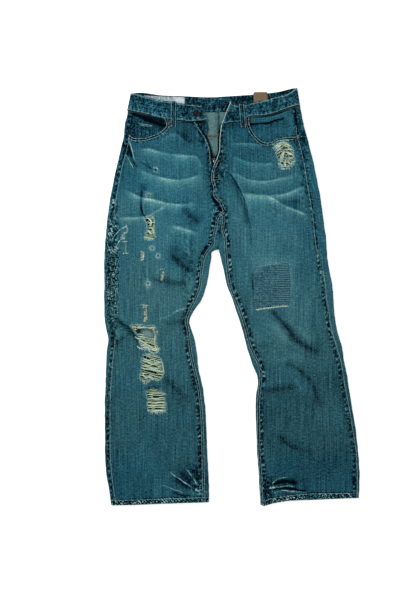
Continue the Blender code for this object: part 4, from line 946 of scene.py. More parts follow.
def flecks_at(x, y):
    """How strongly the cloth is flecked dark and pale: most on puckered seams and hems."""
    fleck = np.full(len(x), 0.05)
    for edge in EDGES:
        near = np.flatnonzero(within(x, y, edge.path, 24.0))
        if len(near):
            _, _, signed = near_path(x[near], y[near], edge.path)
            zone = edge.fleck * bell(signed - 0.5 * edge.at, edge.reach + 3.5)
            fleck[near] = np.maximum(fleck[near], zone)
    for place in FLECKED:
        fleck = np.maximum(fleck, place.shade * bell(far_from(place, x, y), 1.0))
    return fleck


def upper_face(x, y):
    """Height and wash of the garment's upper face: wear, with painted shade and highlights of its folds,
    creases, crumples and seams.
    """
    x = np.asarray(x, float)
    y = np.asarray(y, float)
    height = lift(y) + EDGE_HEIGHT
    below_band = 1.0 - ease((y - 380.0) / 40.0)
    height = height + below_band * (1.3 + 1.1 * noise(x, y, 85.0, 121) + 0.5 * noise(x, y, 30.0, 122))
    wash = base_wash_and_shade(x, y)
    add_whiskers(x, y, height, wash)
    add_strokes(x, y, height, wash)
    add_crumples(x, y, height, wash)
    add_edges(x, y, height, wash)
    # Worn spots: a pale worn ring, with painted shade in the middle where the weft lies over the hole.
    for spot in SPOTS:
        away = np.hypot((x - spot.x) / spot.half_x, (y - spot.y) / spot.half_y)
        wash = wash + 0.20 * bell(away, 1.6, 4) - 0.5 * bell(away, 0.5, 4)
    return height, np.clip(wash, *WASH_AND_SHADE_LIMITS)


# ---------------------------------------------------------------- meshes

def grid_faces(rows, columns):
    """Faces of a grid whose rows run down and columns to the right, facing up."""
    index = np.arange(rows * columns).reshape(rows, columns)
    return np.stack([index[:-1, :-1], index[1:, :-1], index[1:, 1:], index[:-1, 1:]], axis=-1).reshape(-1, 4)


def trim(lanes, quads, triangles, outline, keep_inside=False):
    """Cut faces along an outline. The mesh's nearest points move onto it first.

    lanes holds x, y and what else belongs to each point, one row a point."""
    margin = 12.0
    low, high = outline.min(0) - margin, outline.max(0) + margin
    x, y = lanes[:, 0], lanes[:, 1]
    close = (x > low[0]) & (x < high[0]) & (y > low[1]) & (y < high[1])
    signed = np.full(len(lanes), margin)
    ring = ringed(outline)
    distance, _, _ = near_path(x[close], y[close], ring)
    signed[close] = np.where(in_outline(x[close], y[close], outline), -distance, distance)
    if keep_inside:
        signed = -signed
    pairs = [faces[:, [side, (side + 1) % sides]]
             for faces, sides in ((quads, 4), (triangles, 3)) for side in range(sides)]
    pairs = np.unique(np.sort(np.concatenate(pairs), axis=1), axis=0)
    a, b = pairs[:, 0], pairs[:, 1]
    crossing = (signed[a] < 0.0) != (signed[b] < 0.0)
    a, b = a[crossing], b[crossing]
    t = signed[a] / (signed[a] - signed[b])
    mover = np.where(t < 0.5, a, b)
    target = lanes[a] + (lanes[b] - lanes[a]) * t[:, None]
    order = np.argsort(-np.minimum(t, 1.0 - t))
    moved = lanes.copy()
    moved[mover[order]] = target[order]
    state = np.sign(signed)
    state[mover] = 0.0
    corners = state[quads]
    has_in, has_out = (corners < 0).any(1), (corners > 0).any(1)
    on_line = ~has_in & ~has_out
    whole = (has_out & ~has_in) | (on_line & (signed[quads].mean(1) > 0.0))
    mixed = np.flatnonzero(has_in & has_out)
    extra = []
    for quad, corner in zip(quads[mixed], corners[mixed]):
        out = int(np.argmax(corner))
        extra.append([quad[out - 1], quad[out], quad[(out + 1) % 4]])
    corners = state[triangles] if len(triangles) else np.zeros((0, 3))
    kept = triangles[(corners > 0).any(1) & ~(corners < 0).any(1)]
    extra = np.array(extra, int).reshape(-1, 3)
    return moved, quads[whole], np.concatenate([kept, extra])


def point_lane(mesh, name, values):
    """Keep a value for each point of a mesh."""
    mesh.attributes.new(name, "FLOAT", "POINT").data.foreach_set("value", values)


def mesh_of(name, points, edges, faces, finish=()):
    """A mesh from points in millimetres."""
    mesh = bpy.data.meshes.new(name)
    mesh.from_pydata((np.asarray(points) * MM).tolist(), edges, faces)
    for material in finish:
        mesh.materials.append(material)
    return mesh


def declare(obj, node_name, body=BODY):
    """Say which body carries a piece and what it stands for."""
    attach(obj, body)
    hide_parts(node_name)


def add_mesh(name, points, faces, uv, wash, finish):
    """A new object from points in millimetres, faces, and values for each point."""
    used = np.unique(np.concatenate([part.ravel() for part in faces if len(part)]))
    order = np.full(len(points), -1)
    order[used] = np.arange(len(used))
    face_list = [order[face].tolist() for part in faces for face in part]
    mesh = mesh_of(name, points[used], [], face_list, finish)
    corner = np.empty(len(mesh.loops), int)
    mesh.loops.foreach_get("vertex_index", corner)
    mesh.uv_layers.new(name="UVMap").data.foreach_set("uv", (uv[used][corner] * MM).ravel())
    point_lane(mesh, "wash", wash[used])
    mesh.shade_smooth()
    mesh.update()
    return place_object(name, mesh), used


def wall(obj, thickness, weights):
    """Give a cloth its thickness, on the inner side, with the second material there."""
    solid = obj.modifiers.new("cloth_wall", "SOLIDIFY")
    solid.thickness = thickness * MM
    solid.offset = -1.0
    if len(obj.data.materials) > 1:
        solid.material_offset = 1
    if weights is not None:
        group = obj.vertex_groups.new(name="thick")
        for value in np.unique(weights):
            group.add(np.flatnonzero(weights == value).tolist(), float(value), "REPLACE")
        solid.vertex_group = "thick"
        solid.thickness_vertex_group = 0.0


TREES = {}


def remember(name, points, faces):
    """Keep a surface, so that threads can be laid on it."""
    TREES[name] = BVHTree.FromPolygons(points.tolist(), [face.tolist() for part in faces for face in part])


def drop(names, line, up):
    """A plan line laid on the upper face of the named surfaces, a little above it."""
    line = np.asarray(line, float)
    top = np.full(len(line), np.nan)
    for name in names:
        for index, (x, y) in enumerate(line[:, :2]):
            hit = TREES[name].ray_cast(Vector((x, y, ABOVE_ALL)), Vector((0.0, 0.0, -1.0)))[0]
            if hit is not None and not top[index] > hit.z:
                top[index] = hit.z
    found = np.flatnonzero(~np.isnan(top))
    if not len(found):
        return np.concatenate([line[:, :2], upper_face(line[:, 0], line[:, 1])[0][:, None] + up], axis=1)
    kept = slice(found[0], found[-1] + 1)
    top = np.interp(np.arange(len(line)), found, top[found])
    return np.concatenate([line[:, :2], top[:, None] + up], axis=1)[kept]


def cloth(name, node_name, lanes, faces, points, wash, finish, thickness, weights=None,
          inside=None, fleck=0.0):
    """A cloth piece in place of its node, declared to its body."""
    remember(name, points, faces)
    uv = lanes[:, 2:4]
    obj, used = add_mesh(name, points, faces, uv, wash, finish)
    offset, shade = creases_at(points[:, 0], points[:, 1])
    soil = soil_and_shade_at(points[:, 0], points[:, 1], wash)
    flecks = np.maximum(flecks_at(points[:, 0], points[:, 1]), fleck)
    for lane, values in (("inside", inside), ("soil", soil), ("crease", offset), ("crease_shade", shade),
                         ("fleck", flecks)):
        if values is not None:
            point_lane(obj.data, lane, values[used])
    wall(obj, thickness, None if weights is None else weights[used])
    declare(obj, node_name)


# ---------------------------------------------------------------- material tools

def node(tree, kind, feeds=None, **values):
    """A new node. feeds gives its inputs by name or number: a number, a colour, or a socket to link."""
    made = tree.nodes.new(kind)
    for name, value in values.items():
        setattr(made, name, value)
    for name, value in (feeds or {}).items():
        if isinstance(value, bpy.types.NodeSocket):
            tree.links.new(value, made.inputs[name])
        else:
            made.inputs[name].default_value = value
    return made


def math_node(tree, operation, first, second=0.5, clamp=False):
    made = node(tree, "ShaderNodeMath", {0: first, 1: second}, operation=operation, use_clamp=clamp)
    return made.outputs[0]


def product(tree, first, second):
    return math_node(tree, "MULTIPLY", first, second)


def total(tree, *parts):
    """The sum of sockets, one after the other."""
    added = parts[0]
    for part in parts[1:]:
        added = math_node(tree, "ADD", added, part)
    return added


def lane_value(tree, name):
    """What a piece's points hold under this name."""
    return node(tree, "ShaderNodeAttribute", attribute_name=name).outputs["Fac"]


def smooth_step(tree, value, low, high, at_low, at_high):
    feeds = {"Value": value, "From Min": low, "From Max": high, "To Min": at_low, "To Max": at_high}
    return node(tree, "ShaderNodeMapRange", feeds, interpolation_type="SMOOTHSTEP").outputs["Result"]


def bumped(tree, shader, height, strength, distance):
    """Feed a height to a shader as a bump."""
    bump = node(tree, "ShaderNodeBump", {"Strength": strength, "Distance": distance, "Height": height})
    tree.links.new(bump.outputs[0], shader.inputs["Normal"])


def new_group(kind, name, inputs, outputs):
    """A node group, its input and output nodes. inputs are (label, type, value), outputs (label, type)."""
    tree = bpy.data.node_groups.new(name, kind)
    for label, socket_type, value in inputs:
        socket = tree.interface.new_socket(name=label, in_out="INPUT", socket_type="NodeSocket" + socket_type)
        if value is not None:
            socket.default_value = value
    for label, socket_type in outputs:
        tree.interface.new_socket(name=label, in_out="OUTPUT", socket_type="NodeSocket" + socket_type)
    return tree, node(tree, "NodeGroupInput").outputs, node(tree, "NodeGroupOutput")


def stretched_noise(tree, uv, across, along, detail=2.0):
    """Noise whose lumps are across and along metres in size on the cloth."""
    feeds = {0: uv, 1: (1.0 / across, 1.0 / along, 1.0)}
    scaled = node(tree, "ShaderNodeVectorMath", feeds, operation="MULTIPLY")
    grain = node(tree, "ShaderNodeTexNoise", {"Vector": scaled.outputs[0], "Scale": 1.0, "Detail": detail},
                 noise_dimensions="2D")
    return math_node(tree, "SUBTRACT", grain.outputs["Fac"], 0.5)


TWILL_ACROSS, TWILL_ALONG = 5700.0, 4200.0      # how fast the twill line turns, per metre


def warp_and_weft():
    """Slubby warp streaks and the twill line. Shift adds to the wash, Height feeds a bump."""
    tree, start, end = new_group(
        "ShaderNodeTree", "warp_and_weft",
        [("UV", "Vector", None), ("Streaks", "Float", 0.3), ("Twill", "Float", 0.1),
         ("Mottle", "Float", 0.1)],
        [("Shift", "Float"), ("Height", "Float")])
    uv = start["UV"]
    fine = stretched_noise(tree, uv, 0.0020, 0.0050)
    broad = stretched_noise(tree, uv, 0.0020, 0.090)
    bands = stretched_noise(tree, uv, 0.007, 0.14)
    slub = stretched_noise(tree, uv, 0.014, 0.0022)
    mottle = stretched_noise(tree, uv, 0.0045, 0.0045, 3.0)
    split = node(tree, "ShaderNodeSeparateXYZ", {0: uv})
    twill = math_node(tree, "SINE", total(tree, product(tree, split.outputs[0], TWILL_ACROSS),
                                          product(tree, split.outputs[1], TWILL_ALONG)))
    streaks = total(tree, product(tree, fine, 1.0), product(tree, broad, 0.95), product(tree, bands, 0.16),
                    product(tree, slub, 0.7))
    shift = total(tree, product(tree, streaks, start["Streaks"]), product(tree, mottle, start["Mottle"]),
                  product(tree, twill, start["Twill"]))
    tree.links.new(shift, end.inputs["Shift"])
    tree.links.new(total(tree, product(tree, twill, 0.35), total(tree, fine, slub)), end.inputs["Height"])
    return tree


def srgb(red, green, blue):
    """A display colour as scene-linear values."""
    values = [value / 255.0 for value in (red, green, blue)]
    return tuple(v / 12.92 if v <= 0.04045 else ((v + 0.055) / 1.055) ** 2.4 for v in values) + (1.0,)


def colour_ramp(tree, factor, stops):
    """A ramp through (place, scene-linear colour) stops."""
    ramp = node(tree, "ShaderNodeValToRGB", {"Fac": factor})
    elements = ramp.color_ramp.elements
    for number, (place, colour) in enumerate(stops):
        element = elements[number] if number < 2 else elements.new(place)
        element.position = place
        element.color = colour
    return ramp.outputs["Color"]


def shades(*stops):
    """Stops of a ramp from (place, display colour)."""
    return [(place, srgb(*colour)) for place, colour in stops]


# Indigo denim from raw to white, and the pale reverse where the weft shows.
INDIGO = shades(
    (0.0, (0, 6, 15)), (0.14, (3, 30, 46)), (0.32, (20, 66, 82)), (0.50, (35, 93, 110)),
    (0.64, (52, 114, 128)), (0.78, (80, 138, 146)), (0.89, (122, 168, 168)), (1.0, (182, 206, 194)))
REVERSE = shades(
    (0.0, (15, 38, 40)), (0.3, (62, 96, 100)), (0.5, (92, 126, 128)), (0.75, (128, 158, 154)),
    (1.0, (190, 204, 190)))
DARNED = shades(
    (0.0, (4, 16, 36)), (0.22, (20, 48, 74)), (0.40, (42, 84, 106)), (0.55, (66, 112, 130)),
    (0.75, (104, 144, 152)), (1.0, (176, 196, 194)))
# Denim greened by grime, and the green tint of the painted shade in the legs' folds.
SOILED_AND_SHADED = shades(
    (0.0, (2, 8, 12)), (0.14, (11, 38, 44)), (0.32, (36, 70, 75)), (0.50, (58, 99, 105)),
    (0.64, (80, 122, 124)), (0.78, (104, 142, 142)), (0.89, (134, 168, 164)), (1.0, (184, 204, 190)))
LINEN = shades((0.0, (30, 52, 56)), (0.5, (96, 120, 112)), (1.0, (180, 196, 176)))
TAPE_DARK = shades((0.0, (0, 2, 6)), (1.0, (24, 38, 48)))
LABEL_PALE = shades((0.0, (40, 66, 80)), (1.0, (214, 228, 230)))
CLOTH_WEAVE = warp_and_weft()


def sharp_creases(tree):
    """Lines worn pale, and folded lines painted dark as shade, sharper than the mesh, from the piece's crease
    lanes.
    """
    offset = math_node(tree, "ABSOLUTE", lane_value(tree, "crease"))
    return product(tree, smooth_step(tree, offset, 0.3, 1.25, 1.0, 0.0), lane_value(tree, "crease_shade"))


def flecks(tree, uv):
    """Small dark and pale flecks, as strong as the piece's fleck lane."""
    spread = smooth_step(tree, stretched_noise(tree, uv, 0.0034, 0.0044, 1.0), -0.13, 0.13, -0.95, 0.55)
    return product(tree, spread, lane_value(tree, "fleck"))


def cloth_finish(name, stops, streaks, twill, mottle, level=None, lane="wash"):
    """A woven cloth. Its wash comes from the piece, or is one level all over."""
    material, tree, shader = new_material(name)
    uv = node(tree, "ShaderNodeUVMap", uv_map="UVMap").outputs[0]
    weave = node(tree, "ShaderNodeGroup", node_tree=CLOTH_WEAVE)
    tree.links.new(uv, weave.inputs["UV"])
    set_inputs(weave, {"Streaks": streaks, "Twill": twill, "Mottle": mottle})
    shift = weave.outputs["Shift"]
    if level is None:
        level = lane_value(tree, lane)
        shift = product(tree, shift, math_node(tree, "SUBTRACT", 1.5, product(tree, level, 1.1)))
        if lane == "wash":
            shift = total(tree, shift, sharp_creases(tree), flecks(tree, uv))
        wash = math_node(tree, "ADD", level, shift, clamp=True)
        colour = colour_ramp(tree, wash, stops)
        if lane == "wash":
            feeds = {0: lane_value(tree, "soil"), 6: colour, 7: colour_ramp(tree, wash, SOILED_AND_SHADED)}
            colour = node(tree, "ShaderNodeMix", feeds, data_type="RGBA", blend_type="MIX").outputs[2]
    else:
        colour = colour_ramp(tree, math_node(tree, "ADD", shift, level, clamp=True), stops)
    tree.links.new(colour, shader.inputs["Base Color"])
    bumped(tree, shader, weave.outputs["Height"], 0.5, 0.0003)
    set_inputs(shader, {"Roughness": 0.88, "Specular IOR Level": 0.02, "Sheen Weight": 0.008,
                        "Sheen Roughness": 0.6})
    return material


def plain_finish(name, colour, roughness, grain, metallic=0.0, grain_size=0.002, specular=0.3, bump=0.3):
    """A yarn, metal or leather finish: one colour, mottled by noise on the piece."""
    material, tree, shader = new_material(name)
    place = node(tree, "ShaderNodeTexCoord")
    feeds = {"Vector": place.outputs["Object"], "Scale": 1.0 / grain_size, "Detail": 4.0}
    mottle = node(tree, "ShaderNodeTexNoise", feeds).outputs["Fac"]
    stops = [(at, tuple(min(value * gain, 1.0) for value in srgb(*colour)[:3]) + (1.0,))
             for at, gain in ((0.3, 1.0 - grain), (0.7, 1.0 + grain))]
    tree.links.new(colour_ramp(tree, mottle, stops), shader.inputs["Base Color"])
    bumped(tree, shader, mottle, bump, grain_size * 0.3)
    set_inputs(shader, {"Roughness": roughness, "Metallic": metallic, "Specular IOR Level": specular})
    return material


DENIM = cloth_finish("worn_denim", INDIGO, 0.50, 0.03, 0.16)
DENIM_REVERSE = cloth_finish("denim_reverse", REVERSE, 0.30, 0.07, 0.30, level=0.45)
DENIM_INSIDE = cloth_finish("denim_inside", REVERSE, 0.30, 0.07, 0.30, lane="inside")
LINING = cloth_finish("pocket_lining", LINEN, 0.25, 0.02, 0.35, level=0.3)
TAPE = cloth_finish("zip_tape_cloth", TAPE_DARK, 0.2, 0.08, 0.1, level=0.2)
LABEL = cloth_finish("woven_label_cloth", LABEL_PALE, 0.4, 0.1, 0.9)
DARN = cloth_finish("darned_cloth", DARNED, 0.25, 0.03, 0.35)
THREAD_FINISH = {
    "pale": plain_finish("pale_thread", (140, 178, 182), 0.8, 0.5),
    "mending": plain_finish("mending_thread", (226, 242, 238), 0.8, 0.15),
    "tan": plain_finish("tan_weft", (158, 164, 104), 0.9, 0.2),
    "straw": plain_finish("straw_weft", (204, 202, 150), 0.9, 0.2),
    "blue": plain_finish("blue_thread", (60, 96, 108), 0.8, 0.3),
    "orange": plain_finish("orange_thread", (158, 104, 62), 0.8, 0.3),
    "cream": plain_finish("cream_weft", (190, 212, 178), 0.9, 0.2, grain_size=0.012),
    "white": plain_finish("white_thread", (200, 226, 218), 0.9, 0.15),
    "indigo": plain_finish("indigo_warp", (50, 92, 104), 0.9, 0.4, grain_size=0.006),
}
LEATHER = plain_finish("leather", (114, 94, 70), 0.6, 0.12, grain_size=0.0012)
BRASS = plain_finish("dark_brass", (32, 32, 38), 0.45, 0.3, metallic=0.9, specular=0.5, bump=0.15)
# Pale brass, a painted highlight for the slider's crown and ears.
WORN_BRASS_HIGHLIGHT = plain_finish("worn_brass", (214, 200, 190), 0.40, 0.25, metallic=0.6, specular=0.5, bump=0.1)
COPPER = plain_finish("copper", (60, 36, 32), 0.45, 0.3, metallic=0.75, specular=0.5, bump=0.15)


# ---------------------------------------------------------------- front panels

def leg_rows(leg):
    low = [station for station in leg if station.inner is not None]
    rows = [low[0]]
    for upper, lower in zip(low, low[1:]):
        if upper.y - lower.y > 40.0:
            rows.append(Station(*[lerp(a, b, 0.5) for a, b in zip(upper, lower)]))
        rows.append(lower)
    return rows


def front_lanes(leg, hips, hem, waist, side):
    """Points of a front panel in plan, with their place in the cut, row by row."""
    outs = [(station_value(leg, "outseam", row.out_y), row.out_y) for row in hips]
    ins = inner_ends(hips)
    for row in leg_rows(leg):
        outs.append((row.outseam, row.y))
        ins.append((row.inseam, row.y))
    outs = inset(outs, -side * SEAM)
    ins = inset(ins, side * SEAM)
    left, right = (ins, outs) if side > 0 else (outs, ins)
    knots = run_lengths((left + right) * 0.5)
    rows = int(knots[-1] / FRONT_STEP) + 1
    at = np.linspace(0.0, knots[-1], rows)
    left, right = hermite(knots, left, at), hermite(knots, right, at)
    widths = np.linalg.norm(right - left, axis=1)
    columns = int(widths.max() / FRONT_STEP) + 1
    t = np.linspace(0.0, 1.0, columns)[None, :, None]
    grid = left[:, None] * (1.0 - t) + right[:, None] * t
    x, y = grid[..., 0], grid[..., 1]
    waist_gap = between(waist, x[0]) + TUCK - y[0]
    hem_gap = between(hem, x[-1]) - y[-1]
    near_waist, near_hem = 1.0 - ease(at / 40.0), ease((at - at[-1] + 50.0) / 50.0)
    y += waist_gap * near_waist[:, None] + hem_gap * near_hem[:, None]
    return rows_of(x, y, x, at[:, None]), grid_faces(rows, columns)


def rip_ring(rip):
    return closed(rip.outline, 1.5, 1.2, rip.seed)


def make_front(name, node_name, leg, hips, hem, side, waist, rips, mouth):
    lanes, quads = front_lanes(leg, hips, hem, waist, side)
    triangles = np.zeros((0, 3), int)
    cuts = [rip_ring(rip) for rip in rips]
    cuts.append(np.concatenate([smooth_path(mouth[1:-1], 2.0), [mouth[-1], mouth[0]]]))
    for outline in cuts:
        lanes, quads, triangles = trim(lanes, quads, triangles, outline)
    x, y = lanes[:, 0], lanes[:, 1]
    height, wash = upper_face(x, y)
    under = ease((y - between(waist, x) + 1.0) / 3.0)
    height = height - 2.4 * under
    frayed = np.zeros(len(x))
    for outline in cuts[:-1]:
        distance, _, _ = near_path(x, y, ringed(outline))
        frayed = np.maximum(frayed, bell(distance, 2.6))
    wash = np.clip(wash + 0.30 * frayed, *WASH_AND_SHADE_LIMITS)
    height = height + 0.5 * frayed
    points = rows_of(x, y, height)
    hem_zone = ease((lanes[:, 3] - lanes[:, 3].max() + HEM_DEPTH + 2.0) / 3.0)
    weights = np.where(hem_zone > 0.5, 1.0, CLOTH / HEM_WALL)
    cloth(name, node_name, lanes, [quads, triangles], points, wash, [DENIM, DENIM_REVERSE], HEM_WALL,
          weights=weights)


# ---------------------------------------------------------------- back panels and yokes

FOLD_STEPS = 7
STRIP_STEPS = 6
GROUND_STEPS = 52


def arc_rows(edge_x, y, side):
    """Points round a folded outer edge, from its top to the ground."""
    angles = np.radians(np.linspace(90.0, -90.0, FOLD_STEPS + 1))
    x = edge_x - side * EDGE_ROUND * (1.0 - np.cos(angles))
    z = lift(y) + EDGE_HEIGHT * 0.5 * (1.0 + np.sin(angles))
    return np.stack([x, np.full_like(x, y), z], axis=1)


def straight(start, end, steps):
    """Points from start to end, without the first."""
    t = np.linspace(0.0, 1.0, steps + 1)[1:, None]
    return np.asarray(start, float) * (1.0 - t) + np.asarray(end, float) * t


def outer_turn(edge_x, y, seam, side):
    """From under the front at the outseam, over the strip that shows, round to the ground."""
    arc = arc_rows(edge_x, y, side)
    top = np.array([seam[0], seam[1], float(lift(y)) + EDGE_HEIGHT])
    tuck = top + np.array([-side * TUCK, 0.0, 0.0])
    return np.concatenate([[tuck], [top], straight(top, arc[0], STRIP_STEPS), arc[1:]])


def inner_turn(row, end):
    """From the ground round the fold that a crotch or leg row crosses, to its end."""
    facing = math.radians(row.turn)
    out = np.array([math.cos(facing), math.sin(facing)])
    along = np.array([-out[1], out[0]])
    steps = FOLD_STEPS if row.reach is None else FOLD_STEPS + STRIP_STEPS + 1
    t = np.linspace(0.0, 1.0, steps + 1)
    angles = np.radians(lerp(-90.0, 90.0 if row.reach is None else row.reach, t))
    spot = np.array([row.fold_x, row.fold_y]) - along * (row.drift * (1.0 - t))[:, None]
    spot = spot - out * (EDGE_ROUND * (1.0 - np.cos(angles)))[:, None]
    z = lift(row.fold_y) + EDGE_HEIGHT * 0.5 * (1.0 + np.sin(angles))
    arc = np.concatenate([spot, z[:, None]], axis=1)
    if row.reach is not None:
        return arc
    top = np.array([end[0], end[1], float(lift(end[1])) + EDGE_HEIGHT])
    over = top - arc[-1]
    over[2] = 0.0
    tuck = top + over / max(np.linalg.norm(over), 1e-6) * TUCK
    return np.concatenate([arc, straight(arc[-1], top, STRIP_STEPS), [tuck]])


def seat_row(outer, end, side):
    """A row that stays on the ground up to the centre back seam, where the left laps the right."""
    start = outer[-1]
    finish = np.array([end[0] - (LAP if side > 0 else 0.0), end[1], float(lift(end[1]))])
    first = lerp(start, finish, 0.93)
    row = np.concatenate([outer, straight(start, first, GROUND_STEPS),
                          straight(first, finish, FOLD_STEPS + STRIP_STEPS + 1)])
    if side > 0:
        row[:, 2] += (CLOTH + 0.1) * ease((finish[0] + LAP + 1.6 - row[:, 0]) / 1.2)
    return row


def refine_rows(rows, step):
    """More rows between the given ones, so that none is more than step from the next."""
    rows = np.array(rows)
    gaps = np.linalg.norm(np.diff(rows, axis=0), axis=-1)
    spans = np.maximum(gaps.mean(1), 0.5)
    knots = np.concatenate([[0.0], np.cumsum(spans)])
    return hermite(knots, rows, finer(knots, steps_for(gaps.max(1), step)))


def back_surface(rows, side):
    """Lanes, faces, points by row and wash of a back panel or yoke."""
    if side < 0:
        rows = rows[:, ::-1]
    count, columns = rows.shape[:2]
    x, y, z = rows[..., 0], rows[..., 1], rows[..., 2]
    steps = np.linalg.norm(np.diff(rows, axis=1), axis=-1)
    u = np.concatenate([np.zeros((count, 1)), np.cumsum(steps, axis=1)], axis=1)
    u = u - u.mean(1, keepdims=True)
    middle = rows[:, columns // 2]
    v = run_lengths(middle)[:, None]
    base = lift(y)
    over = ease(((z - base) / EDGE_HEIGHT - 0.45) / 0.5)
    height, wash = upper_face(x.ravel(), y.ravel())
    height, wash = height.reshape(x.shape), wash.reshape(x.shape)
    raised = np.maximum(z + over * (height - base - EDGE_HEIGHT), base)
    wobble = 0.6 * noise(y, x, 11.0, 131) * np.sin(math.pi * np.clip((z - base) / EDGE_HEIGHT, 0.0, 1.0))
    x = x + wobble * side
    lanes = rows_of(x, y, u, v)
    points = np.stack([x, y, raised], axis=-1)
    return lanes, grid_faces(count, columns), points, wash


def inside_wash_and_shade(x, y):
    """Wash of a back panel's inner face, as seen through the fly and rips: pale in the open fly, painted
    shade down in the legs, with a painted shadow at the knee rip's left side.
    """
    wash = 0.02 + 0.44 * ease((y - 334.0) / 22.0)
    wash = wash + 0.60 * np.exp(-((x + 210.0) / 22.0) ** 4 - ((y + 90.0) / 16.0) ** 4)
    wash = wash - 0.40 * np.exp(-((x + 238.0) / 10.0) ** 2 - ((y + 88.0) / 14.0) ** 2)
    seam = bell(x + 34.0, 1.6) + bell(y - 403.0, 2.0) + bell(y - 395.0, 1.2)
    stripes = bell(x + 36.0, 5.0) * (0.55 + 0.45 * np.sin(2.4 * x)) * ease((y - 398.0) / 8.0)
    return np.clip(wash - 0.22 * seam * (y > 250.0) - 0.34 * stripes, 0.0, 1.0)


def back_cloth(name, node_name, lanes, quads, points, wash, thickness, weights=None):
    cloth(name, node_name, lanes, [quads], points.reshape(-1, 3), wash.ravel(), [DENIM, DENIM_INSIDE],
          thickness, weights=weights, inside=inside_wash_and_shade(lanes[:, 0], lanes[:, 1]))


def make_back(name, node_name, leg, crotch, hem, side):
    seat_ends = inset([(row.x, row.y) for row in SEAT], side * SEAM * 0.5)
    turned = [row for row in crotch if row.reach is None]
    legs = leg_rows(leg)
    top_ends = inset([(row.x, row.y) for row in turned] + [(row.inseam, row.y) for row in legs], -side * SEAM)
    heights = [row.out_y for row in SEAT] + [row.out_y for row in crotch] + [row.y for row in legs]
    seams = inset([(station_value(leg, "outseam", y), y) for y in heights], side * SEAM * 0.5)
    rows = []
    for index, y in enumerate(heights):
        outer = outer_turn(station_value(leg, "outer", y), y, seams[index], side)
        if index < len(SEAT):
            rows.append(seat_row(outer, seat_ends[index], side))
            continue
        if index < len(SEAT) + len(crotch):
            row = crotch[index - len(SEAT)]
            end = top_ends[turned.index(row)] if row.reach is None else None
        else:
            place = index - len(SEAT) - len(crotch)
            facing = 0.0 if side < 0 else -180.0
            row = CrotchRow(legs[place].y, legs[place].inner, legs[place].y, facing, 0.0, None, None, None)
            end = top_ends[len(turned) + place]
        inner = inner_turn(row, end)
        rows.append(np.concatenate([outer, straight(outer[-1], inner[0], GROUND_STEPS), inner[1:]]))
    count = min(len(row) for row in rows)
    rows = refine_rows([row[:count] for row in rows], BACK_STEP)
    x, y = rows[..., 0], rows[..., 1]
    low_row = ease((-465.0 - y) / 50.0)
    rows[..., 1] = y + low_row * (between(hem, x) - LEG_FOOT)
    lanes, quads, points, wash = back_surface(rows, side)
    for end_column in (0, -1):
        shows = points[:, end_column, 2] > 5.0
        points[shows, end_column, 2] -= TUCK_DROP
    hem_zone = lanes[:, 1] < between(hem, lanes[:, 0]) + HEM_DEPTH
    weights = np.where(hem_zone, HEM_BACK, CLOTH / HEM_WALL)
    back_cloth(name, node_name, lanes, quads, points, wash, HEM_WALL, weights)


CENTRE_BACK = -32.0        # where the yokes meet

# Rows across a yoke: its height at the outseam and at the centre back.
YokeRow = namedtuple("YokeRow", "out_y centre_y")
YOKE = table(YokeRow, [(461, 461.5), (445, 431), (428, 402.6)])
YOKE_LEFT_TOP = YokeRow(472, 463)


def make_yoke(name, node_name, leg, side):
    rows = []
    on_ground = HIP_LIFT + 1.8
    for number, row in enumerate(YOKE if side < 0 else [YOKE_LEFT_TOP] + YOKE[1:]):
        seam = (station_value(leg, "outseam", row.out_y) + side * SEAM * 0.5, row.out_y)
        outer = outer_turn(station_value(leg, "outer", row.out_y), row.out_y, seam, side)
        line = seat_row(outer, (CENTRE_BACK + side * SEAM * 0.5, row.centre_y), side)
        if number == 0:
            flat = line[:, 2] < on_ground
            line[flat, 1] = between(low_edge(BAND_BACK), line[flat, 0]) + LAP
            line[flat, 2] += 0.4
        rows.append(line)
    flat = rows[-1][:, 2] < on_ground
    for shift in (0.4, -LAP):
        lapped = rows[-1].copy() if shift > 0.0 else rows[-2].copy()
        lapped[:, 1] += shift
        lapped[flat, 2] += CLOTH + 0.1
        rows.append(lapped)
    rows[-3][:, 1] += 1.6
    lanes, quads, points, wash = back_surface(refine_rows(rows, BACK_STEP), side)
    tuck = 0 if side > 0 else -1
    points[:, tuck, 2] -= TUCK_DROP
    back_cloth(name, node_name, lanes, quads, points, wash, CLOTH)


# ---------------------------------------------------------------- waistband

BAND_ACROSS = 16
BAND_STEP = 2.8
BAND_WASH = 0.345
BAND_WIDTH = 41.0


def band_stations():
    stations = [(band, BAND_TOP, 0.0, 1.0) for band in BAND_RIGHT]

    def side_fold(band, way, first, last):
        for step in range(FOLD_STEPS + 1):
            angle = math.radians(lerp(first, last, step / FOLD_STEPS))
            inward = -way * EDGE_ROUND * (1.0 - math.cos(angle))
            height = HIP_LIFT + BAND_HEIGHT * 0.5 * (1.0 + math.sin(angle))
            stations.append((band, height, inward, 0.0))

    side_fold(BAND_RIGHT_SIDE, -1.0, 90.0, -90.0)
    stations.extend((band, HIP_LIFT, 0.0, -1.0) for band in BAND_BACK)
    side_fold(BAND_LEFT_SIDE, 1.0, -90.0, 90.0)
    stations.extend((band, BAND_TOP, 0.0, 1.0) for band in BAND_LEFT)
    return stations


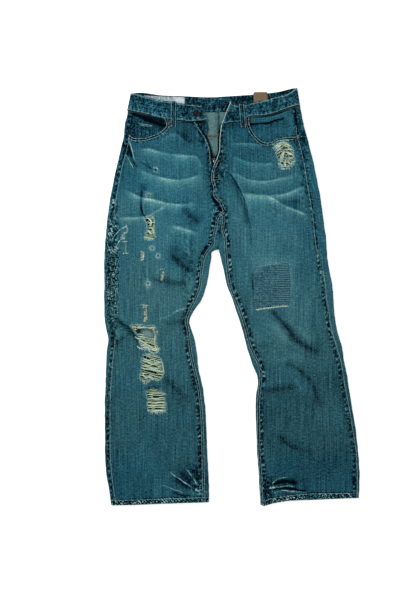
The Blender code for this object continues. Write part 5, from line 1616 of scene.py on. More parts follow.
def make_waistband():
    tops, lows, outs = [], [], []
    for band, height, inward, outward in band_stations():
        tops.append((band.top_x + inward, band.top_y, height))
        lows.append((band.low_x + inward, band.low_y, height))
        outs.append(outward)
    tops, lows = np.array(tops), np.array(lows)
    knots = run_lengths((tops + lows) * 0.5)
    at = finer(knots, steps_for(np.diff(knots), BAND_STEP))
    tops, lows = hermite(knots, tops, at), hermite(knots, lows, at)
    outward = np.interp(at, knots, outs)[:, None]
    q = np.linspace(0.0, 1.0, BAND_ACROSS + 1)[None, :]
    grid = tops[:, None] * (1.0 - q[..., None]) + lows[:, None] * q[..., None]
    x, y, z = grid[..., 0], grid[..., 1], grid[..., 2]
    along = np.broadcast_to(at[:, None], x.shape)
    across = np.broadcast_to(q * BAND_WIDTH, x.shape)
    rim = np.minimum(across, BAND_WIDTH - across)
    upper = ripple(along + 0.5 * across, 9.0, 21) * bell(across - 5.0, 5.5)
    lower = ripple(along + 0.5 * across, 10.0, 22) * bell(BAND_WIDTH - across - 6.0, 6.0)
    crumple = noise(along + 0.3 * across, across, 8.5, 23) * 0.6
    crumple = crumple + noise(along, across + 0.4 * along, 4.2, 24) * 0.6
    puff = 0.7 * ease(rim / 5.0) + 0.6 * (upper + lower) + 0.6 * crumple
    z = z + np.maximum(outward, 0.0) * (puff - 0.8 * (1.0 - ease(rim / 2.0)))
    sparkle = np.clip(noise(along, across, 3.4, 27) - 0.1, -0.4, 0.8)
    # Puckers and crumples are worn pale on their crests and painted dark in their hollows as shade.
    wash = BAND_WASH + 0.34 * np.clip(upper + lower, -1.0, 0.7) + 0.30 * np.clip(crumple, -0.8, 0.6)
    wash = wash + 0.24 * sparkle
    wash = wash + 0.05 * noise(along, across, 30.0, 25) + 0.12 * np.minimum(outward, 0.0)
    dashes = 0.7 + 0.6 * noise_along(along, 4.0, 26)
    wash = wash + 0.36 * bell(across, 1.6) * dashes
    wash = wash + 0.34 * bell(BAND_WIDTH - 4.0 - across, 1.5) * dashes
    wash = wash - 0.24 * bell(BAND_WIDTH - across, 1.6)
    ends = np.minimum(along, at[-1] - along)
    wash = wash + 0.3 * bell(ends, 2.4)
    # Painted shadow on the lower part of the front band near its left end.
    band_end_shadow = bell(x - 2.0, 18.0) * bell(across - 32.0, 16.0)
    wash = wash + (outward > 0.0) * (0.03 * ease((x - 30.0) / 40.0) - 0.26 * band_end_shadow)
    lanes = rows_of(x, y, across, along)
    points = rows_of(x, y, z)
    cloth("denim_waistband", "waistband", lanes, [grid_faces(len(at), BAND_ACROSS + 1)], points,
          np.clip(wash, 0.03, 0.97).ravel(), [DENIM], BAND_WALL, fleck=0.20)


# ---------------------------------------------------------------- small cloth pieces

def cut_from_grid(ring, step):
    """Lanes and faces of a level piece cut out of a square grid."""
    low_corner, high_corner = ring.min(0) - step, ring.max(0) + step
    columns, rows = ((high_corner - low_corner) / step).astype(int) + 2
    x = np.linspace(low_corner[0], high_corner[0], columns)[None, :]
    y = np.linspace(high_corner[1], low_corner[1], rows)[:, None]
    return trim(rows_of(x, y, x, y), grid_faces(rows, columns), np.zeros((0, 3), int), ring, keep_inside=True)


def patch(name, node_name, outline, low, high, material, wash=0.4, step=3.0, curl=0.25,
          strokes=()):
    """A flat piece cut to an outline, gently uneven, between two heights."""
    lanes, quads, triangles = cut_from_grid(smooth_corners(outline), step)
    x, y = lanes[:, 0], lanes[:, 1]
    z = high - curl + curl * noise(x, y, 13.0, 141)
    shade = wash + 0.05 * noise(x, y, 9.0, 142) + 0.04 * noise(x, y, 30.0, 143)
    for stroke in table(Stroke, strokes):
        away, _, _ = near_path(x, y, smooth_path(stroke.path, 5.0))
        shade = shade + stroke.shade * bell(away, stroke.half_width)
    points = rows_of(x, y, z)
    depth = high - low
    thickness = depth - 2.0 * curl if depth > 3.0 * curl else 0.5 * depth
    cloth(name, node_name, lanes, [quads, triangles], points, np.clip(shade, *WASH_AND_SHADE_LIMITS), [material],
          thickness)


def smooth_corners(outline, step=3.0):
    """A closed outline with straight sides, as points about step apart."""
    points = np.asarray(outline, float)
    ring = []
    for start, end in zip(points, np.roll(points, -1, axis=0)):
        count = max(int(np.linalg.norm(end - start) / step), 1)
        ring.extend(start + (end - start) * n / count for n in range(count))
    return np.array(ring)


def make_inner_pieces():
    low = ABOVE_BACK
    # The right facing's strokes are painted shadow under the waistband; the left facing's first is painted
    # shade along its fold.
    patch("facing_right", "pocket_facing_right", RIGHT_FACING, low, low + 1.2, DENIM, wash=0.30, strokes=[
        ([(-250, 462), (-215, 452), (-190, 444), (-165, 432)], 6, 0, -0.5),
        ([(-212, 446), (-185, 438), (-162, 428)], 8, 0, -0.6),
        ([(-252, 452), (-250, 430), (-246, 410)], 6, 0, -0.1)])
    patch("facing_left", "pocket_facing_left", LEFT_FACING, low, low + 1.2, DENIM, wash=0.43, strokes=[
        ([(40, 430), (58, 433), (76, 434), (92, 435), (108, 440), (128, 447)], 1.9, 0, -0.7),
        ([(60, 444), (90, 446), (125, 456)], 6, 0, 0.08),
        ([(50, 424), (80, 424), (110, 430)], 8, 0, -0.06)])
    patch("shield_of_fly", "fly_shield", FLY_SHIELD, low, low + 1.2, DENIM, wash=0.20)
    patch("coin_pocket_cloth", "coin_pocket", COIN_POCKET, low + 1.5, UNDER_FRONT, DENIM, wash=0.33,
          step=1.6, strokes=[([(-231, 433), (-200, 429)], 2, 0, 0.3),
                             ([(-231, 424), (-200, 420)], 4, 0, -0.2)])
    patch("pocket_bag_lining", "pocket_bag_left", POCKET_BAG, UNDER_FRONT - 1.0, UNDER_FRONT, LINING,
          wash=0.2)
    inside_band = HIP_LIFT + BAND_WALL + SEAM
    patch("label_inside_band", "woven_label", WOVEN_LABEL, inside_band, inside_band + 0.8, LABEL,
          wash=0.46, strokes=[([(-137, 494), (-122, 491)], 9, 0, 0.4),
                              ([(-205, 506), (-180, 504), (-150, 500)], 2.4, 0, -0.2)])
    patch("patch_of_leather", "leather_patch", LEATHER_PATCH, inside_band, inside_band + 1.2, LEATHER)
    for side, outline in (("right", RIGHT_BACK_POCKET), ("left", LEFT_BACK_POCKET)):
        patch("pocket_back_" + side, "back_pocket_" + side, outline, 0.0, HIP_LIFT - SEAM, DENIM,
              step=5.0, curl=0.0)


def make_loop(loop):
    """A belt loop: a folded strip, humped over the waistband and sewn at both ends."""
    start = np.array([loop.top_x, loop.top_y])
    end = np.array([loop.low_x, loop.low_y])
    length = np.linalg.norm(end - start)
    rows, columns = int(length / 1.6) + 1, 11
    v = np.linspace(0.0, 1.0, rows)[:, None]
    u = np.linspace(-1.0, 1.0, columns)[None, :]
    along = (end - start) / length
    across = np.array([-along[1], along[0]])
    half = LOOP_HALF * (1.0 + 0.05 * np.sin(v * 9.0))
    x, y = (start[i] + along[i] * length * v + across[i] * half * u for i in (0, 1))
    welt = 0.55 * bell(np.abs(u) - 0.62, 0.22) - 0.7 * ease((np.abs(u) - 0.8) / 0.2)
    crumple = 0.25 * noise(v * length, u * LOOP_HALF, 5.0, 150 + LOOPS.index(loop))
    if loop.outside:
        ends = ease(v / 0.10) * ease((1.0 - v) / 0.12)
        z = BAND_TOP + 1.6 + 1.5 * ends + welt + crumple
    else:
        z = 1.2
    wash = 0.30 + 0.34 * bell(np.abs(u) - 0.86, 0.13) + 0.6 * crumple
    if loop.outside:
        wash = wash - 0.16 * bell(np.abs(u) - 0.50, 0.16) - 0.12 * ease((v - 0.5) / 0.4)
    lanes = rows_of(x, y, u * LOOP_HALF, v * length)
    points = rows_of(x, y, z)
    faces = grid_faces(rows, columns)
    corner, below, _, beside = points[faces[0]]
    if np.cross(below - corner, beside - corner)[2] < 0.0:
        faces = faces[:, ::-1]
    cloth(loop.name + "_cloth", loop.name, lanes, [faces], points, np.clip(wash, 0.04, 0.95).ravel(),
          [DENIM], 1.1, fleck=0.16)


def make_knee_patch():
    """The darned patch: it follows the left front, a layer out from it."""
    ring = closed(KNEE_DARN, 2.0, 0.5, 61)
    lanes, quads, triangles = cut_from_grid(ring, 1.5)
    x, y = lanes[:, 0], lanes[:, 1]
    height, _ = upper_face(x, y)
    rim, _, _ = near_path(x, y, ringed(ring))
    row_wave = np.sin(math.tau * (y + 1.2 * noise(x, y, 18.0, 62)) / 5.6)
    crisp = 0.35 + 0.65 * ease((x - 95.0) / 30.0)
    z = height + 0.4 + 0.7 * ease(rim / 2.0) + 0.30 * row_wave
    wash = 0.47 + 0.20 * row_wave * crisp + 0.13 * noise(x, y, 4.0, 63) * (1.2 - crisp)
    wash = wash + 0.04 * noise(x, y, 22.0, 64)
    wash = wash - 0.25 * bell(x - 51.0, 3.0)
    points = rows_of(x, y, z)
    cloth("knee_darn", "knee_patch", lanes, [quads, triangles], points, np.clip(wash, 0.05, 0.95), [DARN],
          0.7)


# ---------------------------------------------------------------- threads

def painted(tree, made, start, end):
    """Give what a tree made its material and hand it on."""
    real = node(tree, "GeometryNodeRealizeInstances", {0: made})
    feeds = {"Geometry": real.outputs[0], "Material": start["Material"]}
    paint = node(tree, "GeometryNodeSetMaterial", feeds)
    tree.links.new(paint.outputs[0], end.inputs[0])
    return tree


def stitch_tree():
    """Grains of thread along a mesh's edges."""
    tree, start, end = new_group(
        "GeometryNodeTree", "stitches",
        [("Geometry", "Geometry", None), ("Pitch", "Float", 0.0032), ("Length", "Float", 0.0026),
         ("Radius", "Float", 0.00072), ("Uneven", "Float", 0.25), ("Seed", "Int", 1),
         ("Material", "Material", None)],
        [("Geometry", "Geometry")])
    curve = node(tree, "GeometryNodeMeshToCurve", {"Mesh": start["Geometry"]})
    feeds = {"Curve": curve.outputs[0], "Length": start["Pitch"]}
    even = node(tree, "GeometryNodeResampleCurve", feeds, mode="LENGTH")
    grain = node(tree, "GeometryNodeMeshUVSphere", {"Segments": 5, "Rings": 4, "Radius": 1.0})
    turn = node(tree, "GeometryNodeTransform",
                {"Geometry": grain.outputs["Mesh"], "Rotation": (0.0, math.pi / 2.0, 0.0)})
    half = product(tree, start["Length"], 0.5)
    size = node(tree, "ShaderNodeCombineXYZ", {0: half, 1: start["Radius"], 2: start["Radius"]})
    least, most = (math_node(tree, change, 1.0, start["Uneven"]) for change in ("SUBTRACT", "ADD"))
    feeds = {2: least, 3: most, "Seed": start["Seed"]}
    vary = node(tree, "FunctionNodeRandomValue", feeds, data_type="FLOAT")
    feeds = {0: size.outputs[0], "Scale": vary.outputs[1]}
    scale = node(tree, "ShaderNodeVectorMath", feeds, operation="SCALE")
    tangent = node(tree, "GeometryNodeInputTangent").outputs[0]
    aim = node(tree, "FunctionNodeAlignRotationToVector", {"Vector": tangent}, axis="X")
    place = node(tree, "GeometryNodeInstanceOnPoints",
                 {"Points": even.outputs[0], "Instance": turn.outputs[0], "Rotation": aim.outputs[0],
                  "Scale": scale.outputs[0]})
    return painted(tree, place.outputs[0], start, end)


def thread_tree():
    """Round threads along a mesh's edges, as thick as its points say."""
    tree, start, end = new_group(
        "GeometryNodeTree", "loose_threads",
        [("Geometry", "Geometry", None), ("Sides", "Int", 5), ("Material", "Material", None)],
        [("Geometry", "Geometry")])
    curve = node(tree, "GeometryNodeMeshToCurve", {"Mesh": start["Geometry"]})
    ring = node(tree, "GeometryNodeCurvePrimitiveCircle", {"Resolution": start["Sides"], "Radius": 1.0})
    thick = node(tree, "GeometryNodeInputNamedAttribute", {"Name": "thick"}, data_type="FLOAT")
    tube = node(tree, "GeometryNodeCurveToMesh",
                {"Curve": curve.outputs[0], "Profile Curve": ring.outputs["Curve"], "Scale": thick.outputs[0],
                 "Fill Caps": True})
    return painted(tree, tube.outputs[0], start, end)


def lines_mesh(name, lines, radii=None):
    """A mesh of loose edges from lines of points in millimetres."""
    points = np.concatenate(lines)
    edges, first = [], 0
    for line in lines:
        edges.extend((first + n, first + n + 1) for n in range(len(line) - 1))
        first += len(line)
    mesh = mesh_of(name, points, edges, [])
    if radii is not None:
        point_lane(mesh, "thick", np.concatenate(radii) * MM)
    return place_object(name, mesh)


def bake(obj, tree, values):
    """Run a tree on the lines once and keep the mesh it makes."""
    maker = obj.modifiers.new("maker", "NODES")
    maker.node_group = tree
    for item in tree.interface.items_tree:
        if item.item_type == "SOCKET" and item.in_out == "INPUT" and item.name in values:
            maker[item.identifier] = values[item.name]
    graph = bpy.context.evaluated_depsgraph_get()
    mesh = bpy.data.meshes.new_from_object(obj.evaluated_get(graph), depsgraph=graph)
    obj.modifiers.remove(maker)
    obj.data = mesh
    mesh.shade_smooth()
    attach(obj, BODY)


STITCH_ROWS = {"pale": [], "orange": [], "blue": []}
THREADS = {colour: [] for colour in ("cream", "white", "tan", "indigo", "pale", "orange", "mending", "straw",
                                     "blue")}
FRONTS = ["denim_front_right", "denim_front_left"]
ALL_OVER = FRONTS + ["denim_back_right", "denim_back_left"]
SEWN_STEP = 1.6            # spacing of the points of seams and cords


def sew(colour, path, offset, names, up=0.25):
    line = smooth_path(inset(path, offset) if offset else path, SEWN_STEP)
    STITCH_ROWS[colour].append(drop(names, line, up))


def lay_cord(names, path, up, radius):
    """A white cord along an edge."""
    cord = drop(names, smooth_path(path, SEWN_STEP), up)
    THREADS["white"].append((cord, np.full(len(cord), radius)))


def sew_seams():
    for part in (OUTSEAM_RIGHT[:, 1] > 195.0, OUTSEAM_RIGHT[:, 1] < -110.0):
        sew("pale", OUTSEAM_RIGHT[part], 3.4, ALL_OVER)
    sew("pale", OUTSEAM_LEFT[:118], -5.0, ALL_OVER)
    sew("pale", OUTSEAM_LEFT[-80:], 3.0, ALL_OVER)
    for path, offsets, names in (
            (INSEAM_RIGHT, (-1.0, -6.0), ALL_OVER), (INSEAM_LEFT, (-1.0, -6.0), ALL_OVER),
            (RISE, (1.2, 6.4), FRONTS), (MOUTH_RIGHT[::-1], (2.2, 7.6), FRONTS),
            (MOUTH_LEFT, (2.2, 7.6), FRONTS)):
        for offset in offsets:
            sew("pale", path, offset, names)
    lay_cord(FRONTS, inset(FLY_LEFT, 1.1), 0.2, 0.58)
    sew("pale", FLY_RIGHT, 3.0, FRONTS)
    j_stitch = [(-15, 432), (-16, 400), (-18, 367), (-21, 342), (-28, 322), (-38, 309), (-48, 303)]
    for offset in (0.0, -5.5):
        sew("blue", smooth_path(j_stitch), offset, FRONTS)
    sew("pale", [(154, 473), (157, 450), (160, 425), (162, 406)], 0.0, ["facing_left"] + ALL_OVER)
    sew("pale", HEM_RIGHT, 12.4, ALL_OVER)
    sew("pale", HEM_LEFT, 12.4, ALL_OVER)
    coin = smooth_path([(-231, 434.5), (-200.5, 430)])
    for offset in (-0.9, -4.6):
        sew("pale", coin, offset, ["coin_pocket_cloth"])
    for line in ([(-231, 434), (-231.5, 393)], [(-203, 430), (-202, 393)]):
        sew("blue", smooth_path(line), 2.0, ["coin_pocket_cloth"])


def sew_band():
    band = ["denim_waistband"]
    for stations, end_side in ((BAND_RIGHT + [BAND_RIGHT_SIDE], -1.0), ([BAND_LEFT_SIDE] + BAND_LEFT, 1.0)):
        sew("pale", smooth_path(top_edge(stations)), 3.0, band)
        sew("pale", smooth_path(low_edge(stations)), -3.0, band)
        end = stations[0] if end_side < 0.0 else stations[-1]
        sew("blue", smooth_path(top_edge([end]) + low_edge([end])), 3.0 * end_side, band)
    sew("pale", smooth_path([(-60, 462.5), (-26, 463.2)]), 3.0, band)
    for loop in LOOPS:
        if loop.outside:
            line = smooth_path(top_edge([loop]) + low_edge([loop]), 3.0)
            for offset in (-5.2, 5.2):
                sew("pale", line, offset, [loop.name + "_cloth"])


def sew_inside():
    backs = ["denim_yoke_right", "denim_yoke_left", "denim_back_right", "denim_back_left"]
    for y in (400.0, 406.0):
        satin([(-60, y - 1.0), (-32, y), (-8, y + 1.0)], 1.6, ["orange"], backs, 1.5, 0.5, up=CLOTH + 0.4)
    sew("pale", smooth_path([(-37, 460), (-37.5, 330)]), 0.0, backs, CLOTH + 0.3)
    for outline in (RIGHT_BACK_POCKET, LEFT_BACK_POCKET):
        for distance in (3.0, 9.0):
            ring = np.array(outline + outline[:1])
            line = smooth_corners(inset(ring, -distance)[:-1], 4.0)
            STITCH_ROWS["orange"].append(np.concatenate([line, np.full((len(line), 1), 0.5)], axis=1))


def add_thread(colour, points, radius, rng, taper=0.6):
    """Keep one loose thread, thinner towards its ends."""
    t = np.linspace(-1.0, 1.0, len(points))
    thick = radius * (1.0 - taper * np.abs(t) ** 3) * (0.85 + 0.3 * rng.random(len(points)))
    THREADS[colour].append((points, thick))


def pick(rng, colours):
    return colours[rng.integers(len(colours))]


def satin(path, width, colours, names, pitch, radius, seed=1, up=0.5):
    """Threads sewn side by side across a path."""
    rng = np.random.default_rng(seed)
    line = smooth_path(path, pitch)
    for spot, ahead in zip(line, unit(np.gradient(line, axis=0))):
        aside = np.array([-ahead[1], ahead[0]]) * 0.5 * width * rng.uniform(0.75, 1.15)
        slant = ahead * pitch * rng.uniform(-0.5, 0.5)
        strand = drop(names, spot + np.linspace(-1.0, 1.0, 4)[:, None] * (aside + slant), up)
        if len(strand) > 1:
            add_thread(pick(rng, colours), strand, radius * rng.uniform(0.8, 1.15), rng, 0.35)


def fringe(path, length, spacing, colours, names, seed, spread, aim=0.0, radius=0.34):
    """Short frayed ends along a path. aim turns them: 0 across the path to its left."""
    rng = np.random.default_rng(seed)
    line = smooth_path(path, spacing)
    along = np.gradient(line, axis=0)
    heading = np.arctan2(along[:, 1], along[:, 0]) + math.pi / 2.0 + aim
    for spot, angle in zip(line, heading):
        reach = length * (0.35 + rng.random())
        bend = angle + spread * rng.normal()
        curl = 0.5 * rng.normal()
        steps = np.linspace(0.0, 1.0, 5)
        x = spot[0] + rng.normal() * 0.6 + reach * steps * np.cos(bend + curl * steps)
        y = spot[1] + rng.normal() * 0.6 + reach * steps * np.sin(bend + curl * steps)
        strand = drop(names, np.stack([x, y], axis=1), 0.3 + 0.5 * rng.random())
        if len(strand) < 2:
            continue
        add_thread(pick(rng, colours), strand, radius * (0.8 + 0.5 * rng.random()), rng)


def runs(mask, least):
    """Start and end of each run of true values at least so long."""
    edges = np.flatnonzero(np.diff(np.concatenate([[0], mask.astype(int), [0]])))
    return [(a, b) for a, b in zip(edges[::2], edges[1::2]) if b - a >= least]


def weft_across(ring, lean_top, lean_low, bow, gaps, colours, seed, pitch, radius, reach=1.6, bare=()):
    """The weft left lying across a hole, bunched, pushed apart at the gaps and partly broken."""
    rng = np.random.default_rng(seed)
    low, high = ring.min(0), ring.max(0)
    centre, half = (low + high) * 0.5, (high - low) * 0.5
    extra = abs(bow) + max(abs(lean_top), abs(lean_low)) * half[0]
    start = low[1] - extra
    while start < high[1] + extra:
        start += pitch * (0.6 + 0.8 * rng.random())
        x = np.linspace(low[0] - 3.0, high[0] + 3.0, int(half[0] * 2.0 / 1.5) + 5)
        s = (x - centre[0]) / half[0]
        t = np.clip((start - low[1]) / (high[1] - low[1]), 0.0, 1.0)
        lean = lerp(lean_low, lean_top, t)
        y = start + 1.8 * math.sin(start * 1.02 + seed) + lean * (x - centre[0]) - bow * s * s
        y = y + 1.3 * noise_along(x, 13.0, seed + 3, start) + 0.5 * noise_along(x, 4.0, seed, start * 3.0)
        for gap in gaps:
            open_here = np.sqrt(np.clip(1.0 - ((x - gap.x) / gap.half_length) ** 2, 0.0, 1.0))
            off = y - gap.y - lean * (x - gap.x)
            push = gap.half_height * open_here * np.exp(-np.abs(off) / (2.0 * gap.half_height))
            y = y + np.where(off < 0.0, -push, push)
        distance, _, _ = near_path(x, y, ringed(ring))
        held = in_outline(x, y, ring) | (distance < reach)
        for gap in bare:
            away = ((x - gap.x) / gap.half_length) ** 2 + ((y - gap.y) / gap.half_height) ** 2
            held &= away > rng.uniform(0.8, 1.2)
        for first, last in runs(held, 4):
            px, py = x[first:last], y[first:last]
            edge_height, _ = upper_face(px, py)
            along = np.linspace(0.0, 1.0, len(px))
            sag = rng.uniform(-0.3, 1.3) * np.sin(math.pi * along)
            pz = lerp(edge_height[0], edge_height[-1], along) - 0.35 - sag + 0.3 * rng.normal()
            strand = np.stack([px, py, pz], axis=1)
            if rng.random() < 0.12 and len(strand) > 8:
                cut = rng.integers(4, len(strand) - 3)
                strand = strand[:cut] if rng.random() < 0.5 else strand[cut:]
            add_thread(pick(rng, colours), strand, radius * rng.uniform(0.7, 1.4), rng, 0.3)


def fray_rips():
    for rip, name in [(rip, FRONTS[0]) for rip in RIGHT_RIPS] + [(POCKET_RIP, FRONTS[1])]:
        ring = rip_ring(rip)
        colours = ["cream"] * 7 + ["white"] * 2 + ["tan"]
        pitch, radius = 1.9, 0.58
        if rip is POCKET_RIP:
            colours = ["cream"] * 3 + ["pale"] * 3 + ["white", "tan"]
            pitch, radius = 3.4, 0.75
        weft_across(ring, rip.lean_top, rip.lean_low, rip.bow, rip.gaps, colours, rip.seed, pitch, radius,
                    bare=rip.bare)
        closed_ring = ringed(ring)
        fringe(closed_ring, 2.6, 1.3, ["cream", "pale", "indigo", "pale"], [name], rip.seed + 1, 0.9, math.pi)
        low_part = ring[ring[:, 1] < np.percentile(ring[:, 1], 24)]
        low_part = low_part[np.argsort(low_part[:, 0])]
        fringe(low_part, 6.0, 1.3, ["cream", "white", "pale", "cream"], [name], rip.seed + 5, 0.7, math.pi,
               0.42)
        fringe(closed_ring, 2.6, 1.6, ["cream", "white", "indigo"], [name], rip.seed + 2, 0.9)
    for spot in SPOTS:
        angle = np.linspace(0.0, math.tau, 16, endpoint=False)
        ring = np.stack([spot.x + spot.half_x * np.cos(angle), spot.y + spot.half_y * np.sin(angle)], axis=1)
        gaps = [Gap(spot.x, spot.y + shift * spot.half_y, spot.half_x * 0.6, 1.2) for shift in (-0.45, 0.35)]
        colours = [spot.colour, spot.colour, "white"]
        weft_across(ring, 0.1, -0.1, 0.0, gaps, colours, spot.seed, 1.5, 0.45, 0.8)
        fringe(ringed(ring), 2.2, 1.6, [spot.colour, "white", "indigo"], FRONTS[:1], spot.seed, 1.2)


def lay_tufts():
    rng = np.random.default_rng(88)
    for path, radius, colour in TUFTS:
        for shift in (-0.8, 0.0, 0.8):
            line = inset(smooth_path(path, 2.0), radius * shift)
            line = line + 0.5 * rng.normal(size=2) + 0.25 * rng.normal(size=line.shape)
            height, _ = upper_face(line[:, 0], line[:, 1])
            strand = np.concatenate([line, height[:, None] + 0.3 * rng.random() - 0.3 * abs(shift)], axis=1)
            shade = colour if rng.random() < 0.7 else "white"
            add_thread(shade, strand, radius * rng.uniform(0.36, 0.52), rng, 0.5)


def mend():
    for number, (path, width, colour) in enumerate(MENDS):
        satin(path, width, [colour, colour, "pale"], ALL_OVER, 1.9, 0.48, number)
    for number, (path, width, colour) in enumerate(WORN_BARS):
        satin(path, width, [colour, colour, "pale", "indigo"], FRONTS[:1], 1.3, 0.50, 40 + number)
        fringe(path, 0.6 * width, 2.0, [colour, "white", "indigo"], FRONTS[:1], 60 + number, 1.4)
    knee = ["knee_darn", FRONTS[1]]
    low_slit = [(59, -32), (90, -28), (122, -24), (140, -23)]
    fringe(low_slit, 3.0, 0.7, ["white", "straw", "cream", "white"], knee, 71, 0.8, -1.5, 0.42)
    fringe(low_slit, 2.2, 0.9, ["cream", "white"], knee, 72, 0.8, 0.4, 0.38)
    fringe([(66, 75), (90, 80), (120, 83)], 2.0, 1.6, ["cream", "white"], knee, 73, 0.9, 0.2)
    for stations in (HEM_RIGHT, HEM_LEFT):
        fringe(stations, 1.8, 3.0, ["white", "pale", "indigo"], ALL_OVER, 74, 1.0, 0.0, 0.3)
    fringe([(120, 389), (130, 391), (142, 390)], 3.0, 0.8, ["cream", "white"], FRONTS[1:], 75, 0.8)


def bar_tacks():
    for loop in LOOPS:
        if not loop.outside:
            continue
        cloths = [loop.name + "_cloth"]
        colour = "orange" if loop.name == "belt_loop_2" else "pale"
        for x, y in ((loop.top_x, loop.top_y - 2.0), (loop.low_x, loop.low_y + 2.0)):
            satin([(x - 6.0, y), (x + 6.0, y)], 1.8, [colour, "blue"], cloths, 1.1, 0.36)
    satin([(-50, 293), (-31, 293.5)], 2.2, ["pale", "blue"], FRONTS, 1.2, 0.36)
    satin([(-50, 299), (-31, 299.5)], 2.0, ["pale", "tan", "blue"], FRONTS, 1.3, 0.32)
    lay_cord(["denim_waistband"], [(-2.5, 489), (-10, 471), (-17, 453), (-25, 432)], 0.3, 0.55)
    satin([(154, 402.5), (168, 404)], 2.2, ["pale"], ALL_OVER, 1.2, 0.36)
    eye = [(-16, 464.5), (-10, 466.5), (-7, 465), (-10, 463), (-16, 462)]
    satin(eye, 1.6, ["orange", "tan"], ["denim_waistband"], 1.1, 0.32)


def make_threads():
    sew_seams()
    sew_band()
    sew_inside()
    fray_rips()
    lay_tufts()
    mend()
    bar_tacks()
    stitches, tubes = stitch_tree(), thread_tree()
    for number, (colour, lines) in enumerate(STITCH_ROWS.items()):
        obj = lines_mesh("stitches_" + colour, lines)
        bake(obj, stitches, {"Seed": number, "Material": THREAD_FINISH[colour]})
    for colour, threads in THREADS.items():
        if threads:
            lines, radii = zip(*threads)
            obj = lines_mesh("threads_" + colour, lines, radii)
            bake(obj, tubes, {"Material": THREAD_FINISH[colour]})


# ---------------------------------------------------------------- hardware

def turned(name, place, profile, finish, node_name, slot):
    """A solid of revolution from (radius, height) pairs running from the top round to the foot."""
    sides = 40
    points, faces = [], []
    for radius, height in profile:
        for step in range(sides):
            angle = math.tau * step / sides
            aside = (radius * math.cos(angle), radius * math.sin(angle), height)
            points.append([start + move for start, move in zip(place, aside)])
    for ring in range(len(profile) - 1):
        for step in range(sides):
            a, b = ring * sides + step, ring * sides + (step + 1) % sides
            faces.append((a, a + sides, b + sides, b))
    faces.append(tuple(range(sides)))
    faces.append(tuple(range(len(points) - 1, len(points) - sides - 1, -1)))
    mesh = mesh_of(name, points, [], faces, [finish])
    mesh.shade_smooth()
    declare(place_object(name, mesh), node_name)


ZIP_TEETH = []
BUTTON_PROFILE = [
    (0.6, 1.7), (2.6, 1.75), (3.4, 1.45), (4.2, 1.35), (5.8, 1.35), (6.4, 1.6), (6.9, 2.2), (7.6, 2.5),
    (8.2, 2.3), (8.5, 1.7), (8.4, 0.9), (7.6, 0.3), (5, 0), (0.6, 0)]
RIVET_PROFILE = [
    (0.4, 1.5), (1.3, 1.4), (1.8, 0.9), (2.4, 0.8), (3.1, 1), (3.8, 1.05), (4.3, 0.8), (4.5, 0.3), (4.4, 0),
    (0.4, 0)]


def make_tape(name, node_name, rows, low_x, toward_gap):
    """A zip tape under a fly edge, down to the slider, with its teeth on the edge that shows."""
    edge = inner_ends(rows)
    edge.append((low_x, SLIDER_AT[1] + SLIDER_LENGTH * 0.5 + 2.0 * SEAM))
    middle = smooth_path(edge, 2.5)
    sides = [inset(middle, toward_gap * offset) for offset in (-8.0, -4.0, 0.0, 3.2)]
    if toward_gap < 0.0:
        sides = sides[::-1]
    x = np.stack([line[:, 0] for line in sides], axis=1)
    y = np.stack([line[:, 1] for line in sides], axis=1)
    points = rows_of(x, y, UNDER_FRONT)
    lanes = rows_of(x, y, x, y)
    faces = grid_faces(len(middle), len(sides))
    cloth(name, node_name, lanes, [faces], points, np.full(len(points), 0.2), [TAPE], 1.0)
    teeth = inset(middle, toward_gap * 2.9)
    ZIP_TEETH.append(np.concatenate([teeth, np.full((len(teeth), 1), UNDER_FRONT + 0.5)], axis=1))


def oblong(x, y, half_x, half_y, power, taper=0.0):
    """A rounded oblong's outline, narrower towards its foot by taper."""
    angle = np.linspace(0.0, math.tau, 28, endpoint=False)
    ring = np.stack([np.cos(angle), np.sin(angle)], axis=1)
    ring = np.sign(ring) * np.abs(ring) ** (2.0 / power)
    ring[:, 0] *= 1.0 - 0.5 * taper * (1.0 - ring[:, 1])
    return ring * (half_x, half_y) + (x, y)


def add_plate(shape, outline, low, high, bevel=0.2, hole=None, finish=0, upright=False):
    """Add a plate with bevelled rims to a shape, open where a hole's outline is given.
    An upright plate's outline lies in y and z and its thickness along x."""
    points, faces, finishes = shape
    middle = outline.mean(axis=0)
    small = middle + (outline - middle) * (1.0 - bevel / np.abs(outline - middle).max())
    rings = [(small, low), (outline, low + bevel), (outline, high - bevel), (small, high)]
    if hole is not None:
        rings += [(hole, high), (hole, low)]
    count, first = len(outline), len(points)
    for ring, height in rings:
        plan = np.column_stack([ring, np.full(count, height)])
        points.extend((np.roll(plan, 1, axis=1) if upright else plan).tolist())
    start = len(faces)
    for number in range(len(rings) - (hole is None)):
        a, b = first + number * count, first + (number + 1) % len(rings) * count
        faces.extend((a + n, a + (n + 1) % count, b + (n + 1) % count, b + n) for n in range(count))
    if hole is None:
        faces.append(tuple(range(first + count - 1, first - 1, -1)))
        faces.append(tuple(range(len(points) - count, len(points))))
    finishes.extend([finish] * (len(faces) - start))


def finish_shape(name, shape, finishes, body, node_name):
    points, faces, finish_numbers = shape
    mesh = mesh_of(name, points, [], faces, finishes)
    mesh.polygons.foreach_set("material_index", finish_numbers)
    declare(place_object(name, mesh), node_name, body)


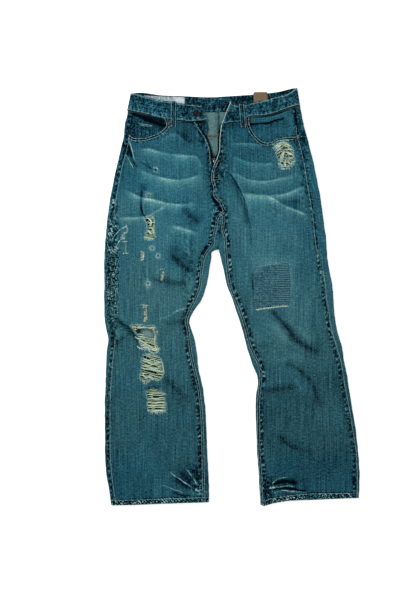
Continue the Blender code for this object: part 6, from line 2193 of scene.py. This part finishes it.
def make_slider_and_pull():
    """The slider's two plates, crown, ears and pin, and the pull tab with its eye on the pin."""
    x, y = SLIDER_AT
    hinge_y, hinge_z, top = y + 4.0, UNDER_FRONT + SEAM + EYE_RADIUS, UNDER_FRONT
    slider = ([], [], [])
    add_plate(slider, oblong(x, y, 3.2, 5.5, 4.0, 0.40), top - 0.9, top)
    add_plate(slider, oblong(x, y, 3.1, 5.4, 4.0, 0.40), top - 2.0, top - 1.2)
    add_plate(slider, oblong(x, y + 1.0, 0.9, 2.6, 2.5), top - 1.5, top - 0.6, 0.1)
    # The crown and the ears are pale brass, a painted highlight on the slider's top.
    add_plate(slider, oblong(x, y - 1.6, 1.7, 3.0, 3.0, 0.25), top - 0.3, top + 0.25, 0.2, finish=1)
    ear_height = 2.0 * EYE_RADIUS + SEAM + 0.6
    for side in (-1.9, 1.9):
        ear = oblong(hinge_y, top - 0.6 + 0.5 * ear_height, 1.3, 0.5 * ear_height, 3.0)
        add_plate(slider, ear, x + side - 0.45, x + side + 0.45, 0.15, finish=1, upright=True)
    pin = oblong(hinge_y, hinge_z, 0.5, 0.5, 2.0)
    add_plate(slider, pin, x - 1.9, x + 1.9, 0.05, upright=True)
    finish_shape("slider_of_zip", slider, [BRASS, WORN_BRASS_HIGHLIGHT], BODY, "zip_slider")
    pull = ([], [], [])
    eye = oblong(hinge_y, hinge_z, EYE_RADIUS, EYE_RADIUS, 2.0)
    add_plate(pull, eye, x - 1.1, x + 1.1, 0.15, oblong(hinge_y, hinge_z, 0.85, 0.85, 2.0), upright=True)
    add_plate(pull, oblong(x, hinge_y + 2.9, 1.1, 1.7, 6.0), hinge_z - 0.5, hinge_z + 0.5)
    add_plate(pull, oblong(x, hinge_y + 9.0, 2.2, 5.0, 5.0, -0.12), hinge_z - 0.5, hinge_z + 0.5, 0.2,
              oblong(x, hinge_y + 10.6, 1.1, 2.2, 3.0))
    finish_shape("tab_of_zip", pull, [BRASS], "pull", "zip_pull")


def make_hardware():
    make_tape("tape_of_zip_right", "zip_tape_right", RIGHT_FRONT[:6], -50.8, 1.0)
    make_tape("tape_of_zip_left", "zip_tape_left", LEFT_FRONT[:6], -40.0, -1.0)
    tooth = {"Pitch": 0.0018, "Length": 0.0010, "Radius": 0.0012, "Uneven": 0.05, "Seed": 9,
             "Material": BRASS}
    bake(lines_mesh("zip_teeth", ZIP_TEETH), stitch_tree(), tooth)
    make_slider_and_pull()
    turned("sewn_button", (*BUTTON_AT, BAND_TOP + 0.5), BUTTON_PROFILE, BRASS, "button", "brass")
    for name, x, y in RIVETS:
        top = drop(ALL_OVER + ["denim_waistband"], [(x, y)], 0.0)[0]
        turned(name + "_head", tuple(top), RIVET_PROFILE, COPPER, name, "copper")


# ---------------------------------------------------------------- make the cloth

make_back("denim_back_right", "back_right", RIGHT_LEG, RIGHT_CROTCH, RIGHT_HEM, -1.0)
make_back("denim_back_left", "back_left", LEFT_LEG, LEFT_CROTCH, LEFT_HEM, 1.0)
make_yoke("denim_yoke_right", "yoke_right", RIGHT_LEG, -1.0)
make_yoke("denim_yoke_left", "yoke_left", LEFT_LEG, 1.0)
make_front("denim_front_right", "front_right", RIGHT_LEG, RIGHT_FRONT, RIGHT_HEM, -1.0, WAIST_RIGHT,
           RIGHT_RIPS, RIGHT_MOUTH)
make_front("denim_front_left", "front_left", LEFT_LEG, LEFT_FRONT, LEFT_HEM, 1.0, WAIST_LEFT,
           LEFT_RIPS, LEFT_MOUTH)
make_waistband()
make_inner_pieces()
for loop in LOOPS:
    make_loop(loop)
make_knee_patch()

make_threads()
make_hardware()
